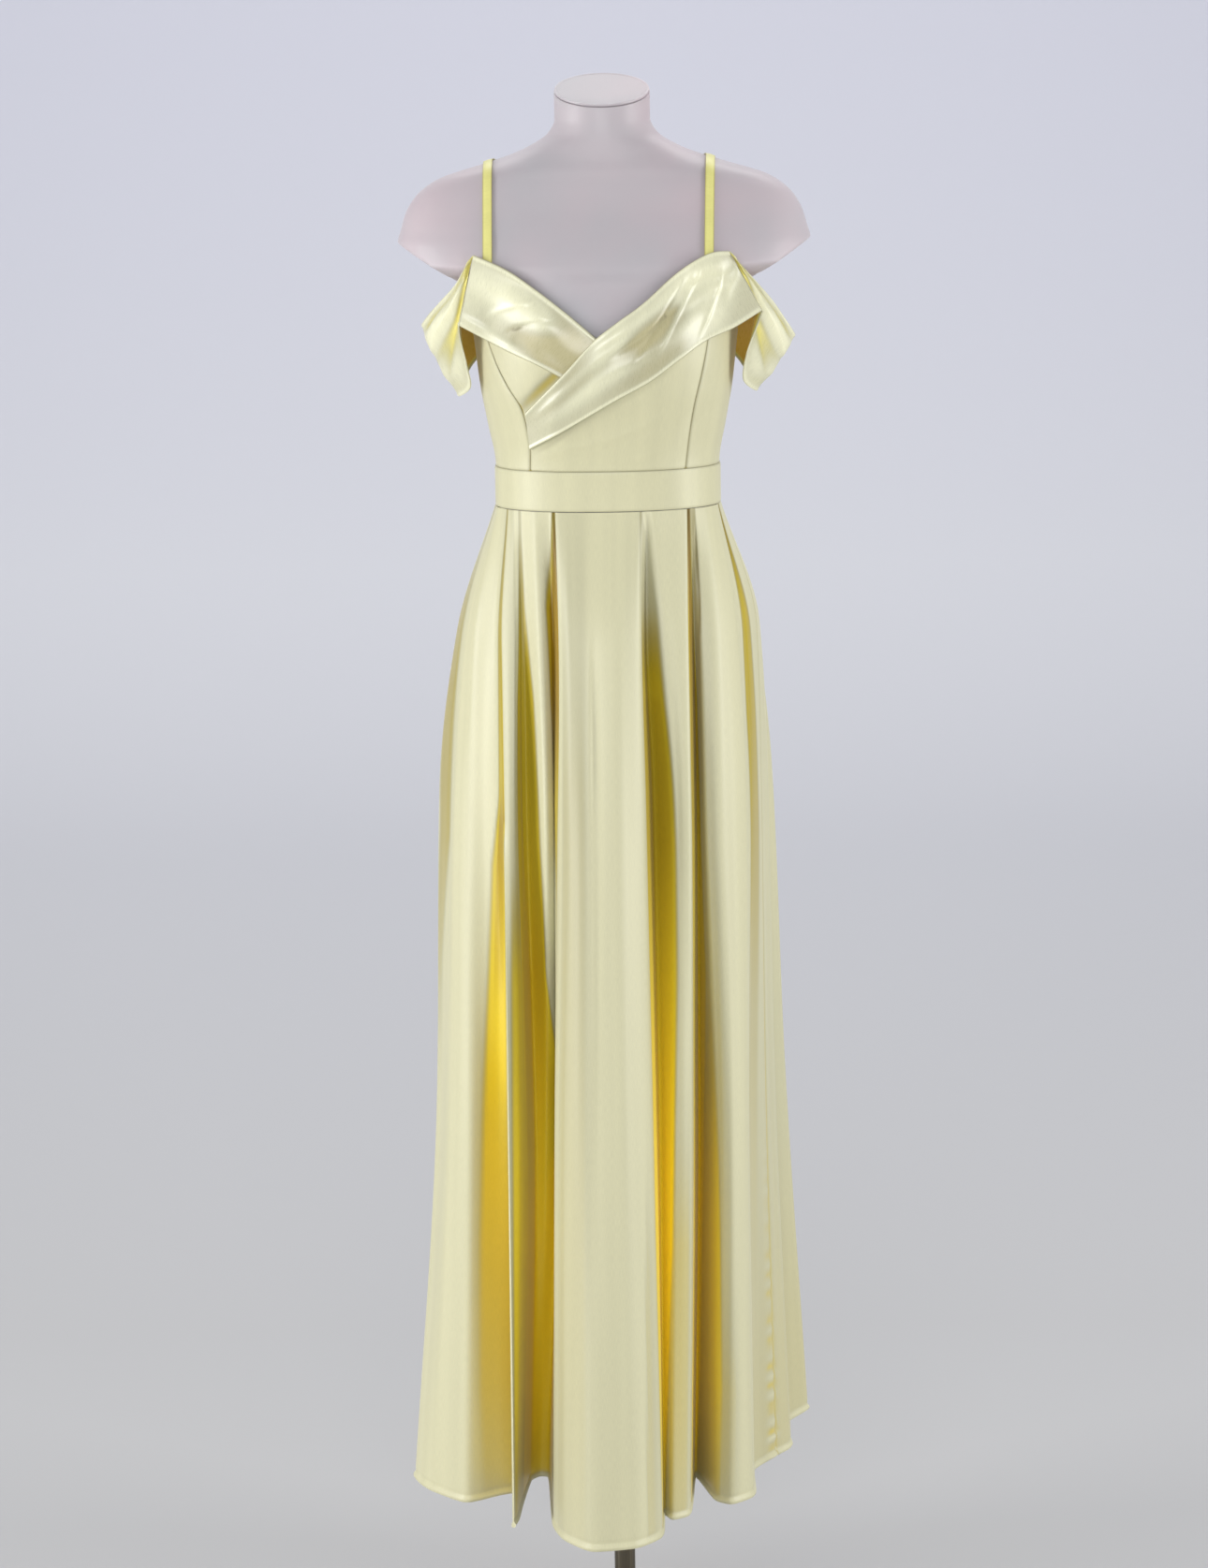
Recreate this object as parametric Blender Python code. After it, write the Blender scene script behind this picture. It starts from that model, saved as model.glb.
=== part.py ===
"""A satin evening dress with off-shoulder drapes and a front slit, on a limbless dress form and stand.

Metres, +Z up, the dress faces -Y, viewer's left is -X. The tables are in millimetres.
The origin is the centre of the stand's base, on the floor. Left and right in the names are the wearer's.
"""
import math

import bmesh
import bpy
import numpy as np
from mathutils import Matrix, Vector

MM = 0.001

BAND_BOTTOM = 1228.5
BAND_TOP = 1268.5
SEAM_GAP = 0.3
CURVED_GAP = 0.9
SKIRT_TOP = 1227.9
SLIT_TOP = 916.0
HEM = 180.0
BASE_RADIUS = 0.175
BASE_THICKNESS = 0.006
POLE_RADIUS = 0.011
NECK_TILT = math.radians(18.4)

# height, half width, depth in front, depth behind, roundness (2 is an ellipse)
FORM_SECTIONS = [
    (1000, 138, 90, 106, 2.2),
    (1060, 140, 92, 108, 2.2),
    (1120, 133, 90, 104, 2.2),
    (1180, 120, 86, 95, 2.2),
    (1228, 110, 84, 86, 2.2),
    (1269, 110, 86, 84, 2.2),
    (1311, 117, 95, 84, 2.3),
    (1350, 124, 106, 87, 2.4),
    (1385, 128, 112, 90, 2.4),
    (1402, 130, 111, 91, 2.4),
    (1430, 137, 105, 91, 2.4),
    (1445, 144, 100, 90, 2.4),
    (1456, 150, 97, 89, 2.4),
    (1464, 176, 94, 88, 2.4),
    (1474, 204, 91, 87, 2.4),
    (1492, 208, 84, 85, 2.4),
    (1508, 204, 77, 81, 2.4),
    (1524, 199, 70, 76, 2.35),
    (1540, 189, 64, 71, 2.3),
    (1549, 179, 61, 68, 2.25),
    (1558, 164, 58, 64, 2.2),
    (1565, 143, 56, 61, 2.2),
    (1569, 129, 54.5, 59.5, 2.2),
    (1573, 116, 53, 58, 2.15),
    (1579, 97, 51.5, 56, 2.1),
    (1587, 77, 50, 54, 2.1),
    (1601, 55, 48, 50, 2.0),
    (1614, 48, 47, 48, 2.0),
    (1640, 47, 47, 47, 2.0),
    (1700, 47, 47, 47, 2.0),
]

# the seam between side front and cup on each side: height, x
RIGHT_PRINCESS = [(1268, -78), (1291, -77.5), (1310, -80), (1331, -85), (1355, -99), (1380, -111), (1407, -119),
                  (1480, -121)]
LEFT_PRINCESS = [(1268, 78), (1309, 83), (1337, 88), (1361, 94), (1395, 101), (1430, 105), (1480, 108)]

# wrap and band stations: upper x, y, z, then lower x, y, z; no y means it lies on the body
WRAP_STATIONS = [
    (122, -81, 1485, 155, -74, 1425),
    (107, None, 1484, 127, -80, 1409),
    (90, None, 1477, 100, None, 1398),
    (67, None, 1462, 72, None, 1380),
    (37, None, 1436, 42, None, 1359),
    (12, None, 1419, 8, None, 1341),
    (-12, None, 1401, -23, None, 1323),
    (-46, None, 1365, -51, None, 1306),
    (-81, None, 1329, -77, None, 1291),
]
BAND_STATIONS = [
    (12, None, 1387, -20, None, 1349),
    (-9, None, 1403, -44, None, 1364),
    (-40, None, 1429, -70, None, 1378),
    (-70, None, 1452, -95, None, 1389),
    (-98, None, 1471, -119, -80, 1401),
    (-129, -81, 1485, -145, -76, 1415),
]

# sleeve drapes, front to back: four points from the top edge to the lower edge, each x, y, z
RIGHT_DRAPE = [
    [(-129.8, -81.2, 1484), (-136.1, -77.5, 1462), (-141.9, -75.3, 1438), (-146.9, -74.6, 1415)],
    [(-138, -82, 1474), (-141, -73, 1455), (-144, -60, 1428), (-146, -65, 1401)],
    [(-150, -61, 1454), (-153, -52, 1434), (-151, -50, 1405), (-140, -53, 1373)],
    [(-169, -32, 1433), (-172, -27, 1412), (-160, -30, 1380), (-137, -42, 1351)],
    [(-186, 0, 1412), (-180, -2, 1396), (-167, -6, 1368), (-149, -18, 1340)],
    [(-173, 34, 1427), (-171, 34, 1405), (-160, 32, 1374), (-148, 20, 1344)],
    [(-153, 58, 1438), (-153, 58, 1418), (-148, 55, 1390), (-140, 46, 1362)],
    [(-130, 72, 1428), (-132, 71, 1412), (-131, 67, 1394), (-129, 60, 1374)],
    [(-110, 73.5, 1412), (-112, 71.5, 1402), (-114, 69.5, 1391), (-116, 66.5, 1380)],
]
LEFT_DRAPE = [
    [(123.0, -81.4, 1484), (135.4, -76.8, 1464), (146.8, -74.2, 1444), (157.1, -73.0, 1424.6)],
    [(131, -83, 1476), (141.5, -72, 1457), (148, -60, 1434), (152, -64, 1410)],
    [(152, -59, 1452), (155, -48, 1434), (152, -50, 1408), (141, -56, 1380)],
    [(170, -30, 1430), (174, -25, 1406), (162, -30, 1376), (138, -44, 1354)],
    [(192, 0, 1396), (184, -2, 1384), (171, -8, 1364), (151, -20, 1341)],
    [(178, 34, 1416), (174, 34, 1396), (162, 32, 1370), (149, 20, 1344)],
    [(155, 58, 1432), (155, 58, 1414), (149, 55, 1388), (140, 46, 1362)],
    [(130, 72, 1426), (132, 71, 1411), (131, 67, 1393), (129, 60, 1374)],
    [(110, 73.5, 1412), (112, 71.5, 1402), (114, 69.5, 1391), (116, 66.5, 1380)],
]

# skirt folds from the slit's own panel round behind to the slit's front edge, one row a fold line:
# name, degrees round the waist, lift off the waist, then x, y at heights 1100, 930, 600 and at the hem, hem height
FOLDS_SLIT_SIDE = [
    ("side front dip", -66, 3.9, (-116, -72), (-117, -88), (-124, -60), (-129, -34), 182),
    ("side front ridge", -76, 5.4, (-137, -60), (-146, -68), (-152, -72), (-166, -51), 180),
    ("side front edge", -82, 4.6, (-146, -46), (-162, -48), (-175, -44), (-203, -14), 180),
    ("side crease", -88, 3.9, (-153, -28), (-171, -20), (-183, -10), (-217, 8), 181),
    ("right side seam", -94, 5.4, (-157, 8), (-180, 22), (-189, 26), (-223, 33), 182),
]
FOLDS_FRONT = [
    ("back right corner", 128, 5.2, (146, 62), (168, 105), (181, 150), (206, 192), 195),
    ("behind the seam", 108, 4.0, (151, 40), (160, 78), (166, 118), (177, 148), 190),
    ("left side ridge", 98, 5.0, (154, 22), (162, 48), (168, 82), (183, 98), 184),
    ("left side seam", 90, 4.6, (150, -4), (154, 14), (157, 40), (166, 74), 182),
    ("side dip", 80, 3.9, (140, -40), (144, -46), (137, -22), (139, 32), 181),
    ("side pleat edge", 70, 5.2, (127, -70), (135, -79), (134, -72), (137, -45), 180),
    ("side pleat", 58, 5.4, (109, -90), (113, -104), (117, -94), (113, -69), 180),
    ("side pleat start", 49, 4.4, (91, -94), (94, -106), (101, -84), (96, -56), 180),
    ("inner dip", 45.5, 3.6, (84, -83), (85, -85), (84, -30), (76, 8), 184),
    ("narrow pleat end", 42, 5.0, (77, -106), (77, -122), (75, -110), (68, -98), 180),
    ("narrow pleat", 21, 5.4, (51, -111), (60, -122), (57, -118), (50, -112), 180),
    ("centre dip", 17.5, 3.6, (36, -97), (41, -98), (42, -95), (41, -98), 181),
    ("centre panel end", 14, 5.2, (29, -121), (30, -140), (33, -152), (38, -162), 180),
    ("centre right", 5, 5.4, (10, -131), (10, -154), (10, -174), (12, -192), 180),
    ("centre left", -8, 5.4, (-20, -135), (-22, -161), (-27, -181), (-34, -200), 180),
    ("centre turn", -20, 5.4, (-42, -130), (-44, -152), (-54, -162), (-62, -166), 180),
    ("centre panel start", -26.5, 5.0, (-52, -119), (-55, -135), (-65, -134), (-73, -128), 180),
    ("deep dip", -30, 3.8, (-57, -96), (-61, -105), (-63, -40), (-79, 10), 184),
    ("soft strip", -39, 5.0, (-71, -104), (-68, -119), (-74, -52), (-89, 16), 184),
    ("strip dip", -49, 3.8, (-86, -87), (-87, -94), (-86, -44), (-99, 2), 184),
    ("slit wall", -53, 4.4, (-92, -90), (-94, -106), (-94, -84), (-107, -62), 181),
    ("slit strip", -56, 5.0, (-97, -92), (-99, -117), (-101, -111), (-111, -110), 180),
    ("slit edge", -61.5, 5.0, (-110, -85), (-110, -112), (-112, -120), (-115, -127), 180),
]
# back ridges from the right side seam to the back right corner of the table above: x, y at the hem
BACK_RIDGES = [(-217, 116), (-168, 184), (-98, 222), (-20, 238), (62, 240), (138, 226)]
BACK_SCALE = [(0.70, 0.49), (0.805, 0.63), (0.845, 0.76), (1.0, 1.0)]
BACK_DIP = [0.965, 0.925, 0.87, 0.84]
RIDGE_WIDTH = 0.17
SKIRT_ROWS = [0, 0.03, 0.07, 0.13, 0.21, None, 0.345, 0.42, 0.54, 0.69, 0.85, 1.0]
LEVELS = [(SKIRT_TOP - z) / (SKIRT_TOP - HEM) for z in (SKIRT_TOP, 1100, 930, 600, HEM)]
SLIT_START = (SKIRT_TOP - SLIT_TOP) / (SKIRT_TOP - HEM)
SLIT_OPENING = (4.0, 103.0)

COLOURS = {
    "satin": (0.83, 0.80, 0.50, 1, 0.35),
    "strap": (0.80, 0.76, 0.36, 1, 0.4),
    "form": (0.62, 0.58, 0.62, 1, 0.45),
    "steel": (0.10, 0.09, 0.07, 1, 0.35),
}


def clear_scene():
    """Remove everything that is in the scene."""
    for item in list(bpy.data.objects):
        bpy.data.objects.remove(item, do_unlink=True)


def curve_through(heights, values, at):
    """A smooth curve through the points (heights, values) that never overshoots between two of them."""
    h, v, at = np.asarray(heights, float), np.asarray(values, float), np.asarray(at, float)
    step = np.diff(h)
    rise = np.diff(v, axis=0) / step.reshape(-1, *[1] * (v.ndim - 1))
    slope = np.zeros_like(v)
    both = rise[:-1] * rise[1:] > 0
    total = rise[:-1] + rise[1:]
    slope[1:-1] = np.where(both, 2 * rise[:-1] * rise[1:] / np.where(total == 0, 1, total), 0)
    slope[0], slope[-1] = rise[0], rise[-1]
    at = np.clip(at, h[0], h[-1])
    k = np.clip(np.searchsorted(h, at, side="right") - 1, 0, len(h) - 2)
    shape = at.shape + (1,) * (v.ndim - 1)
    u, d = ((at - h[k]) / step[k]).reshape(shape), step[k].reshape(shape)
    return ((1 + 2 * u) * (1 - u) ** 2 * v[k] + u * (1 - u) ** 2 * d * slope[k]
            + u ** 2 * (3 - 2 * u) * v[k + 1] + u ** 2 * (u - 1) * d * slope[k + 1])


def form_size(z):
    """Half width, front depth, back depth and roundness of the form at height z, in mm."""
    table = np.array(FORM_SECTIONS, float)
    return np.moveaxis(curve_through(table[:, 0], table[:, 1:], z), -1, 0)


def body_point(degrees, z, out):
    """The point on the form at an angle from the front (positive to +X), pushed out level by out mm.

    x = a |sin t|^(2/n), y = -b |cos t|^(2/n), with the signs of sin t and cos t.
    """
    a, front, back, n = form_size(z)
    t = np.radians(degrees)
    s, c = np.sin(t), np.cos(t)
    b = np.where(c > 0, front, back)
    x = a * np.sign(s) * np.abs(s) ** (2 / n)
    y = -b * np.sign(c) * np.abs(c) ** (2 / n)
    nx = np.sign(x) * np.abs(x / a) ** (n - 1) / a
    ny = np.sign(y) * np.abs(y / b) ** (n - 1) / b
    size = np.hypot(nx, ny)
    return np.stack(np.broadcast_arrays(x + out * nx / size, y + out * ny / size, z), axis=-1)


def angle_at(x, z, out=0.0):
    """The angle from the front at which a layer out mm from the form reaches x at height z."""
    a, _, _, n = form_size(z)
    foot = np.asarray(x, float)
    for _ in range(6):
        t = np.degrees(np.arcsin(np.clip(np.abs(foot) / a, 0, 0.9999) ** (n / 2))) * np.sign(x)
        foot = x - (body_point(t, z, out) - body_point(t, z, 0))[..., 0]
    return t


def through(points, steps):
    """A curve through rows of points, steps[i] pieces from row i to the next, with even flow at each row."""
    p = np.asarray(points, float)
    gaps = np.maximum(np.linalg.norm(np.diff(p, axis=0).reshape(len(p) - 1, -1), axis=1), 1e-6) ** 0.5
    knots = np.concatenate([[0], np.cumsum(gaps)])
    slope = np.empty_like(p)
    slope[0], slope[-1] = (p[1] - p[0]) / gaps[0], (p[-1] - p[-2]) / gaps[-1]
    for i in range(1, len(p) - 1):
        one, two = (p[i] - p[i - 1]) / gaps[i - 1], (p[i + 1] - p[i]) / gaps[i]
        slope[i] = (one * gaps[i] + two * gaps[i - 1]) / (gaps[i] + gaps[i - 1])
    rows = []
    for i, count in enumerate(steps):
        for j in range(count):
            u, d = j / count, knots[i + 1] - knots[i]
            rows.append((1 + 2 * u) * (1 - u) ** 2 * p[i] + u * (1 - u) ** 2 * d * slope[i]
                        + u ** 2 * (3 - 2 * u) * p[i + 1] + u ** 2 * (u - 1) * d * slope[i + 1])
    return np.array(rows + [p[-1]])


def material(name, key):
    """A plain material for one node."""
    red, green, blue, alpha, rough = COLOURS[key]
    made = bpy.data.materials.new(name)
    made.use_nodes = True
    shader = made.node_tree.nodes["Principled BSDF"]
    shader.inputs["Base Color"].default_value = (red, green, blue, alpha)
    shader.inputs["Roughness"].default_value = rough
    made.diffuse_color = (red, green, blue, alpha)
    return made


def finish(name, bm, key, smooth=True):
    """Turn a mesh in metres into the named object of the scene."""
    bmesh.ops.recalc_face_normals(bm, faces=bm.faces)
    mesh = bpy.data.meshes.new(name)
    bm.to_mesh(mesh)
    bm.free()
    for face in mesh.polygons:
        face.use_smooth = smooth
    made = bpy.data.objects.new(name, mesh)
    made.data.materials.append(material(name + "_look", key))
    bpy.context.scene.collection.objects.link(made)
    return made


def shell(name, outer, inner, key):
    """A closed wall between two grids of points of the same shape, in mm."""
    rows, cols = outer.shape[:2]
    bm = bmesh.new()
    out = [[bm.verts.new(Vector(p) * MM) for p in row] for row in outer]
    inn = [[bm.verts.new(Vector(p) * MM) for p in row] for row in inner]
    for r in range(rows - 1):
        for c in range(cols - 1):
            one = np.linalg.norm(outer[r, c] - outer[r + 1, c + 1])
            two = np.linalg.norm(outer[r, c + 1] - outer[r + 1, c])
            corners = [(0, 0), (0, 1), (1, 1), (1, 0)] if one < two else [(0, 1), (1, 1), (1, 0), (0, 0)]
            for side, order in ((out, 1), (inn, -1)):
                a, b, d, e = [side[r + i][c + j] for i, j in corners]
                bm.faces.new((a, b, d)[::order])
                bm.faces.new((a, d, e)[::order])
    for r in range(rows - 1):
        bm.faces.new((out[r][0], out[r + 1][0], inn[r + 1][0], inn[r][0]))
        bm.faces.new((out[r][-1], inn[r][-1], inn[r + 1][-1], out[r + 1][-1]))
    for c in range(cols - 1):
        bm.faces.new((out[0][c], inn[0][c], inn[0][c + 1], out[0][c + 1]))
        bm.faces.new((out[-1][c], out[-1][c + 1], inn[-1][c + 1], inn[-1][c]))
    return finish(name, bm, key)


def inward(grid, wall, away):
    """The grid moved by the wall along its own normals, to the side that faces the point away(grid)."""
    across, along = np.gradient(grid, axis=1), np.gradient(grid, axis=0)
    normal = np.cross(across, along)
    normal /= np.linalg.norm(normal, axis=-1, keepdims=True)
    sign = np.sign(np.sum(normal * (grid - away), axis=-1, keepdims=True).mean())
    return grid - sign * wall * normal


def panel(name, first, last, bottom, top, out, wall, cols, rows):
    """A fitted panel on the form between two seams and two edges.

    first and last give the angle at a height, bottom and top the height at 0 to 1 across the panel.
    """
    across = np.linspace(0, 1, cols + 1)
    low, high = bottom(across), top(across)
    grid = []
    for r in np.linspace(0, 1, rows + 1):
        z = low + r * (high - low)
        grid.append((first(z) + across * (last(z) - first(z)), z))
    outer = np.array([body_point(t, z, out + wall) for t, z in grid])
    inner = np.array([body_point(t, z, out) for t, z in grid])
    return shell(name, outer, inner, "satin")


def seam(table, shift=0.0):
    """The angle of a seam given by its heights and x, moved sideways by shift mm."""
    rows = np.array(table, float)
    return lambda z: angle_at(curve_through(rows[:, 0], rows[:, 1], z) + shift, z, 3.6)


def level(value):
    """The same value all the way."""
    return lambda at: np.full_like(np.asarray(at, float), value)


def edge(*values):
    """A smooth edge whose height at even steps across the panel is given."""
    return lambda at: curve_through(np.linspace(0, 1, len(values)), values, at)


def strip(name, stations, outs, wall, cols, rows, middle=0.0):
    """A band of cloth across the bodice through the stations, its distance from the form given for each one."""
    lines = []
    for (ux, uy, uz, lx, ly, lz), out in zip(stations, outs):
        down = np.linspace(0, 1, rows + 1)
        x, z = ux + (lx - ux) * down, uz + (lz - uz) * down
        on = body_point(angle_at(x, z, out), z, out)
        given = None if uy is None and ly is None else (uy if uy is not None else on[0][1],
                                                        ly if ly is not None else on[-1][1])
        if given:
            y = given[0] + (given[1] - given[0]) * down - middle * np.sin(np.pi * down)
            on[:, 1] = y if ly is not None and uy is not None else np.minimum(y, on[:, 1])
        on[:, 0] = x
        lines.append(on)
    steps = [max(1, round(cols / (len(lines) - 1)))] * (len(lines) - 1)
    grid = through(lines, steps)
    inner = np.swapaxes(grid, 0, 1)
    outer = inward(inner, -wall, np.array([0.0, 60.0, 1400.0]))
    return shell(name, outer, inner, "satin")


def drape(name, stations, wall):
    """A sleeve drape through its stations, the wall on the inside."""
    lines = [through(line, [2, 2, 2]) for line in stations]
    grid = np.swapaxes(through(lines, [1, 2, 2, 3, 3, 2, 2, 2]), 0, 1)
    side = -1 if stations[4][0][0] < 0 else 1
    inner = inward(grid, wall, np.array([side * 120.0, 0.0, 1410.0]))
    return shell(name, grid, inner, "satin")


def strap(name, x_front, x_top, x_back, z_front, z_back, half, wall):
    """A shoulder strap laid over the form, from the front tip to the top of the back."""
    heights = np.linspace(1500, 1610, 441)
    widths = form_size(heights)[0]
    clear = np.interp(np.arange(19), [0, 3, 9, 15, 18], [2.0, 1.1, 0.95, 1.1, 2.0])[:, None]
    outer, inner = [], []
    for side in (-half, 0.0, half):
        top = float(heights[np.argmax(widths < abs(x_top + side))])
        path = []
        for k in range(9):
            z = z_front + (top - z_front) * math.sin(math.radians(10 * k))
            x = x_front + (x_top - x_front) * k / 9 + side
            path.append((x, float(body_point(angle_at(x, z), z, 0)[1]), z))
        path.append((x_top + side, 0.0, top))
        for k in range(8, -1, -1):
            z = z_back + (top - z_back) * math.sin(math.radians(10 * k))
            x = x_back + (x_top - x_back) * k / 9 + side
            path.append((x, float(body_point(180 - angle_at(x, z), z, 0)[1]), z))
        path = np.array(path)
        flow = np.gradient(path, axis=0)
        normal = np.stack([np.zeros(len(path)), -flow[:, 2], flow[:, 1]], axis=-1)
        normal /= np.linalg.norm(normal, axis=-1, keepdims=True)
        inner.append(path + normal * clear)
        outer.append(path + normal * (clear + wall))
    return shell(name, np.array(outer), np.array(inner), "strap")


def waist_point(degrees, lift):
    """The skirt's top edge at an angle, outside the form."""
    return body_point(degrees, np.array(SKIRT_TOP), lift)[:2]


def fold_lines():
    """Every fold line of the skirt as x, y at the five levels, with its hem height, slit to slit."""
    lines = []
    for _, degrees, lift, *points, low in FOLDS_SLIT_SIDE:
        lines.append(([waist_point(degrees, lift)] + [np.array(p, float) for p in points], low))
    ridges = np.array([FOLDS_SLIT_SIDE[-1][6]] + BACK_RIDGES + [FOLDS_FRONT[0][6]], float)
    for i in range(len(ridges) - 1):
        hems = [((ridges[i] + ridges[i + 1]) / 2, False)]
        if i < len(ridges) - 2:
            along = (ridges[i + 2] - ridges[i]) * RIDGE_WIDTH / 2
            hems += [(ridges[i + 1] - along, True), (ridges[i + 1] + along, True)]
        for hem, ridge in hems:
            points = [hem * scale * (1 if ridge else dip) for scale, dip in zip(BACK_SCALE, BACK_DIP)]
            turn = math.degrees(math.atan2(hem[0] / 0.98, -hem[1]))
            turn = turn if turn < 0 else turn - 360
            lines.append(([waist_point(turn, 5.4 if ridge else 3.9)] + points, 188))
    for _, degrees, lift, *points, low in FOLDS_FRONT:
        lines.append(([waist_point(degrees, lift)] + [np.array(p, float) for p in points], low))
    return lines


def skirt_grid():
    """The skirt's outer surface as rows of points from the waist to the hem, and where each fold line falls."""
    lines = fold_lines()
    rows = [SLIT_START if w is None else w for w in SKIRT_ROWS]
    edge_line = np.array(lines[-1][0])
    table = np.array([points for points, _ in lines])
    hems = np.array([low for _, low in lines], float)
    spread = 0.5 * (np.linalg.norm(np.diff(table[:, 4], axis=0), axis=1)
                    + np.linalg.norm(np.diff(table[:, 3], axis=0), axis=1))
    steps = [int(np.clip(round(length / 16), 2, 5)) for length in spread]
    grid, first = [], 3
    for w in rows:
        at = np.array([curve_through(LEVELS, points, np.array(w)) for points in table])
        z = SKIRT_TOP - w * (SKIRT_TOP - hems)
        opening = np.clip((w - SLIT_START) / (1 - SLIT_START), 0, 1)
        back = 1 - (1 - opening) ** 1.5
        slit = curve_through(LEVELS, edge_line, np.array(w)) + np.array(SLIT_OPENING) * back
        points = np.concatenate([np.column_stack([at, z]), np.zeros((0, 3))])
        start = np.array([[slit[0], slit[1], SKIRT_TOP - w * (SKIRT_TOP - (HEM + 1 * back))]])
        points = np.concatenate([start, points])
        grid.append(through(points, [first] + steps))
    marks = np.concatenate([[0], np.cumsum([first] + steps)])
    return np.array(grid), marks


def skirt_pieces(wall):
    """The four skirt panels, parted by the seam gap."""
    grid, marks = skirt_grid()
    step = np.diff(grid, axis=1)
    side = np.stack([step[..., 1], -step[..., 0], np.zeros(step.shape[:2])], axis=-1)
    side /= np.linalg.norm(side, axis=-1, keepdims=True)
    before, after = np.concatenate([side[:, :1], side], axis=1), np.concatenate([side, side[:, -1:]], axis=1)
    sewn = sum(w is None or w <= SLIT_START for w in SKIRT_ROWS)
    before[:sewn, 0], after[:sewn, -1] = side[:sewn, -1], side[:sewn, 0]
    middle = before + after
    middle /= np.linalg.norm(middle, axis=-1, keepdims=True)
    mitre = np.clip(np.sum(middle * before, axis=-1, keepdims=True), 0.62, 1)
    inner = grid + wall / mitre * middle
    right_side = marks[len(FOLDS_SLIT_SIDE)]
    back_count = 3 * len(BACK_RIDGES) + 1
    centre_back = marks[len(FOLDS_SLIT_SIDE) + 13]
    left_side = marks[len(FOLDS_SLIT_SIDE) + back_count + 4]
    pieces = [("skirt_side_front", 0, right_side), ("skirt_back_right", right_side, centre_back),
              ("skirt_back_left", centre_back, left_side), ("skirt_front", left_side, grid.shape[1] - 1)]
    for name, start, stop in pieces:
        out, inn = grid[:, start:stop + 1].copy(), inner[:, start:stop + 1].copy()
        for side in (out, inn):
            for end, near in ((0, 1), (-1, -2)):
                step = side[:, near] - side[:, end]
                side[:, end] += SEAM_GAP / 2 * step / np.linalg.norm(step, axis=-1, keepdims=True)
        shell(name, out, inn, "satin")


def form_torso():
    """The dress form: stacked sections, arm ends cut flat, the neck cut on a slant."""
    heights = [row[0] for row in FORM_SECTIONS]
    heights = sorted(set(heights) | {1367, 1416, 1483, 1576})
    turns = np.arange(0, 360, 10.0)
    bm = bmesh.new()
    rings = [[bm.verts.new(Vector(body_point(t, np.array(float(z)), 0)) * MM) for t in turns] for z in heights]
    count = len(turns)
    for low, high in zip(rings, rings[1:]):
        for k in range(count):
            bm.faces.new((low[k], low[(k + 1) % count], high[(k + 1) % count], high[k]))
    bm.faces.new(list(reversed(rings[0])))
    bm.faces.new(rings[-1])
    bmesh.ops.recalc_face_normals(bm, faces=bm.faces)
    slant = Vector((0, -math.sin(NECK_TILT), math.cos(NECK_TILT)))
    cut = bmesh.ops.bisect_plane(bm, geom=bm.verts[:] + bm.edges[:] + bm.faces[:], dist=1e-6,
                                 plane_co=Vector((0, 0, 1.6415)), plane_no=slant, clear_outer=True)
    bmesh.ops.contextual_create(bm, geom=[e for e in cut["geom_cut"] if isinstance(e, bmesh.types.BMEdge)])
    torso = finish("form_torso", bm, "form")
    for side in (-1, 1):
        wedge = bmesh.new()
        outline = [(151, 1458.6), (240, 1515.7), (240, 1440), (151, 1440)]
        ends = [[wedge.verts.new((side * x * MM, y, z * MM)) for x, z in outline] for y in (-0.15, 0.15)]
        wedge.faces.new(ends[0])
        wedge.faces.new(list(reversed(ends[1])))
        for k in range(4):
            wedge.faces.new((ends[0][k], ends[1][k], ends[1][(k + 1) % 4], ends[0][(k + 1) % 4]))
        cutter = finish("cutter", wedge, "form", smooth=False)
        step = torso.modifiers.new("arm end", "BOOLEAN")
        step.operation, step.solver, step.object = "DIFFERENCE", "EXACT", cutter
        depsgraph = bpy.context.evaluated_depsgraph_get()
        made = bpy.data.meshes.new_from_object(torso.evaluated_get(depsgraph))
        torso.modifiers.clear()
        torso.data = made
        bpy.data.objects.remove(cutter, do_unlink=True)
    for face in torso.data.polygons:
        face.use_smooth = True
    torso.data.name = "form_torso"
    return torso


def disc(name, radius, low, high, segments, key, bevel=0.0, place=Matrix.Identity(4)):
    """A round plate or rod with softened rims."""
    profile = [(0, low), (radius - bevel, low), (radius, low + bevel), (radius, high - bevel), (radius - bevel, high)]
    if not bevel:
        profile = [(radius, low), (radius, high)]
    else:
        profile = profile[1:]
    bm = bmesh.new()
    rings = []
    for r, z in profile:
        rings.append([bm.verts.new(place @ Vector((r * math.cos(2 * math.pi * k / segments),
                                                   r * math.sin(2 * math.pi * k / segments), z)))
                      for k in range(segments)])
    for one, two in zip(rings, rings[1:]):
        for k in range(segments):
            bm.faces.new((one[k], one[(k + 1) % segments], two[(k + 1) % segments], two[k]))
    bm.faces.new(list(reversed(rings[0])))
    bm.faces.new(rings[-1])
    return finish(name, bm, key)


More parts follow.
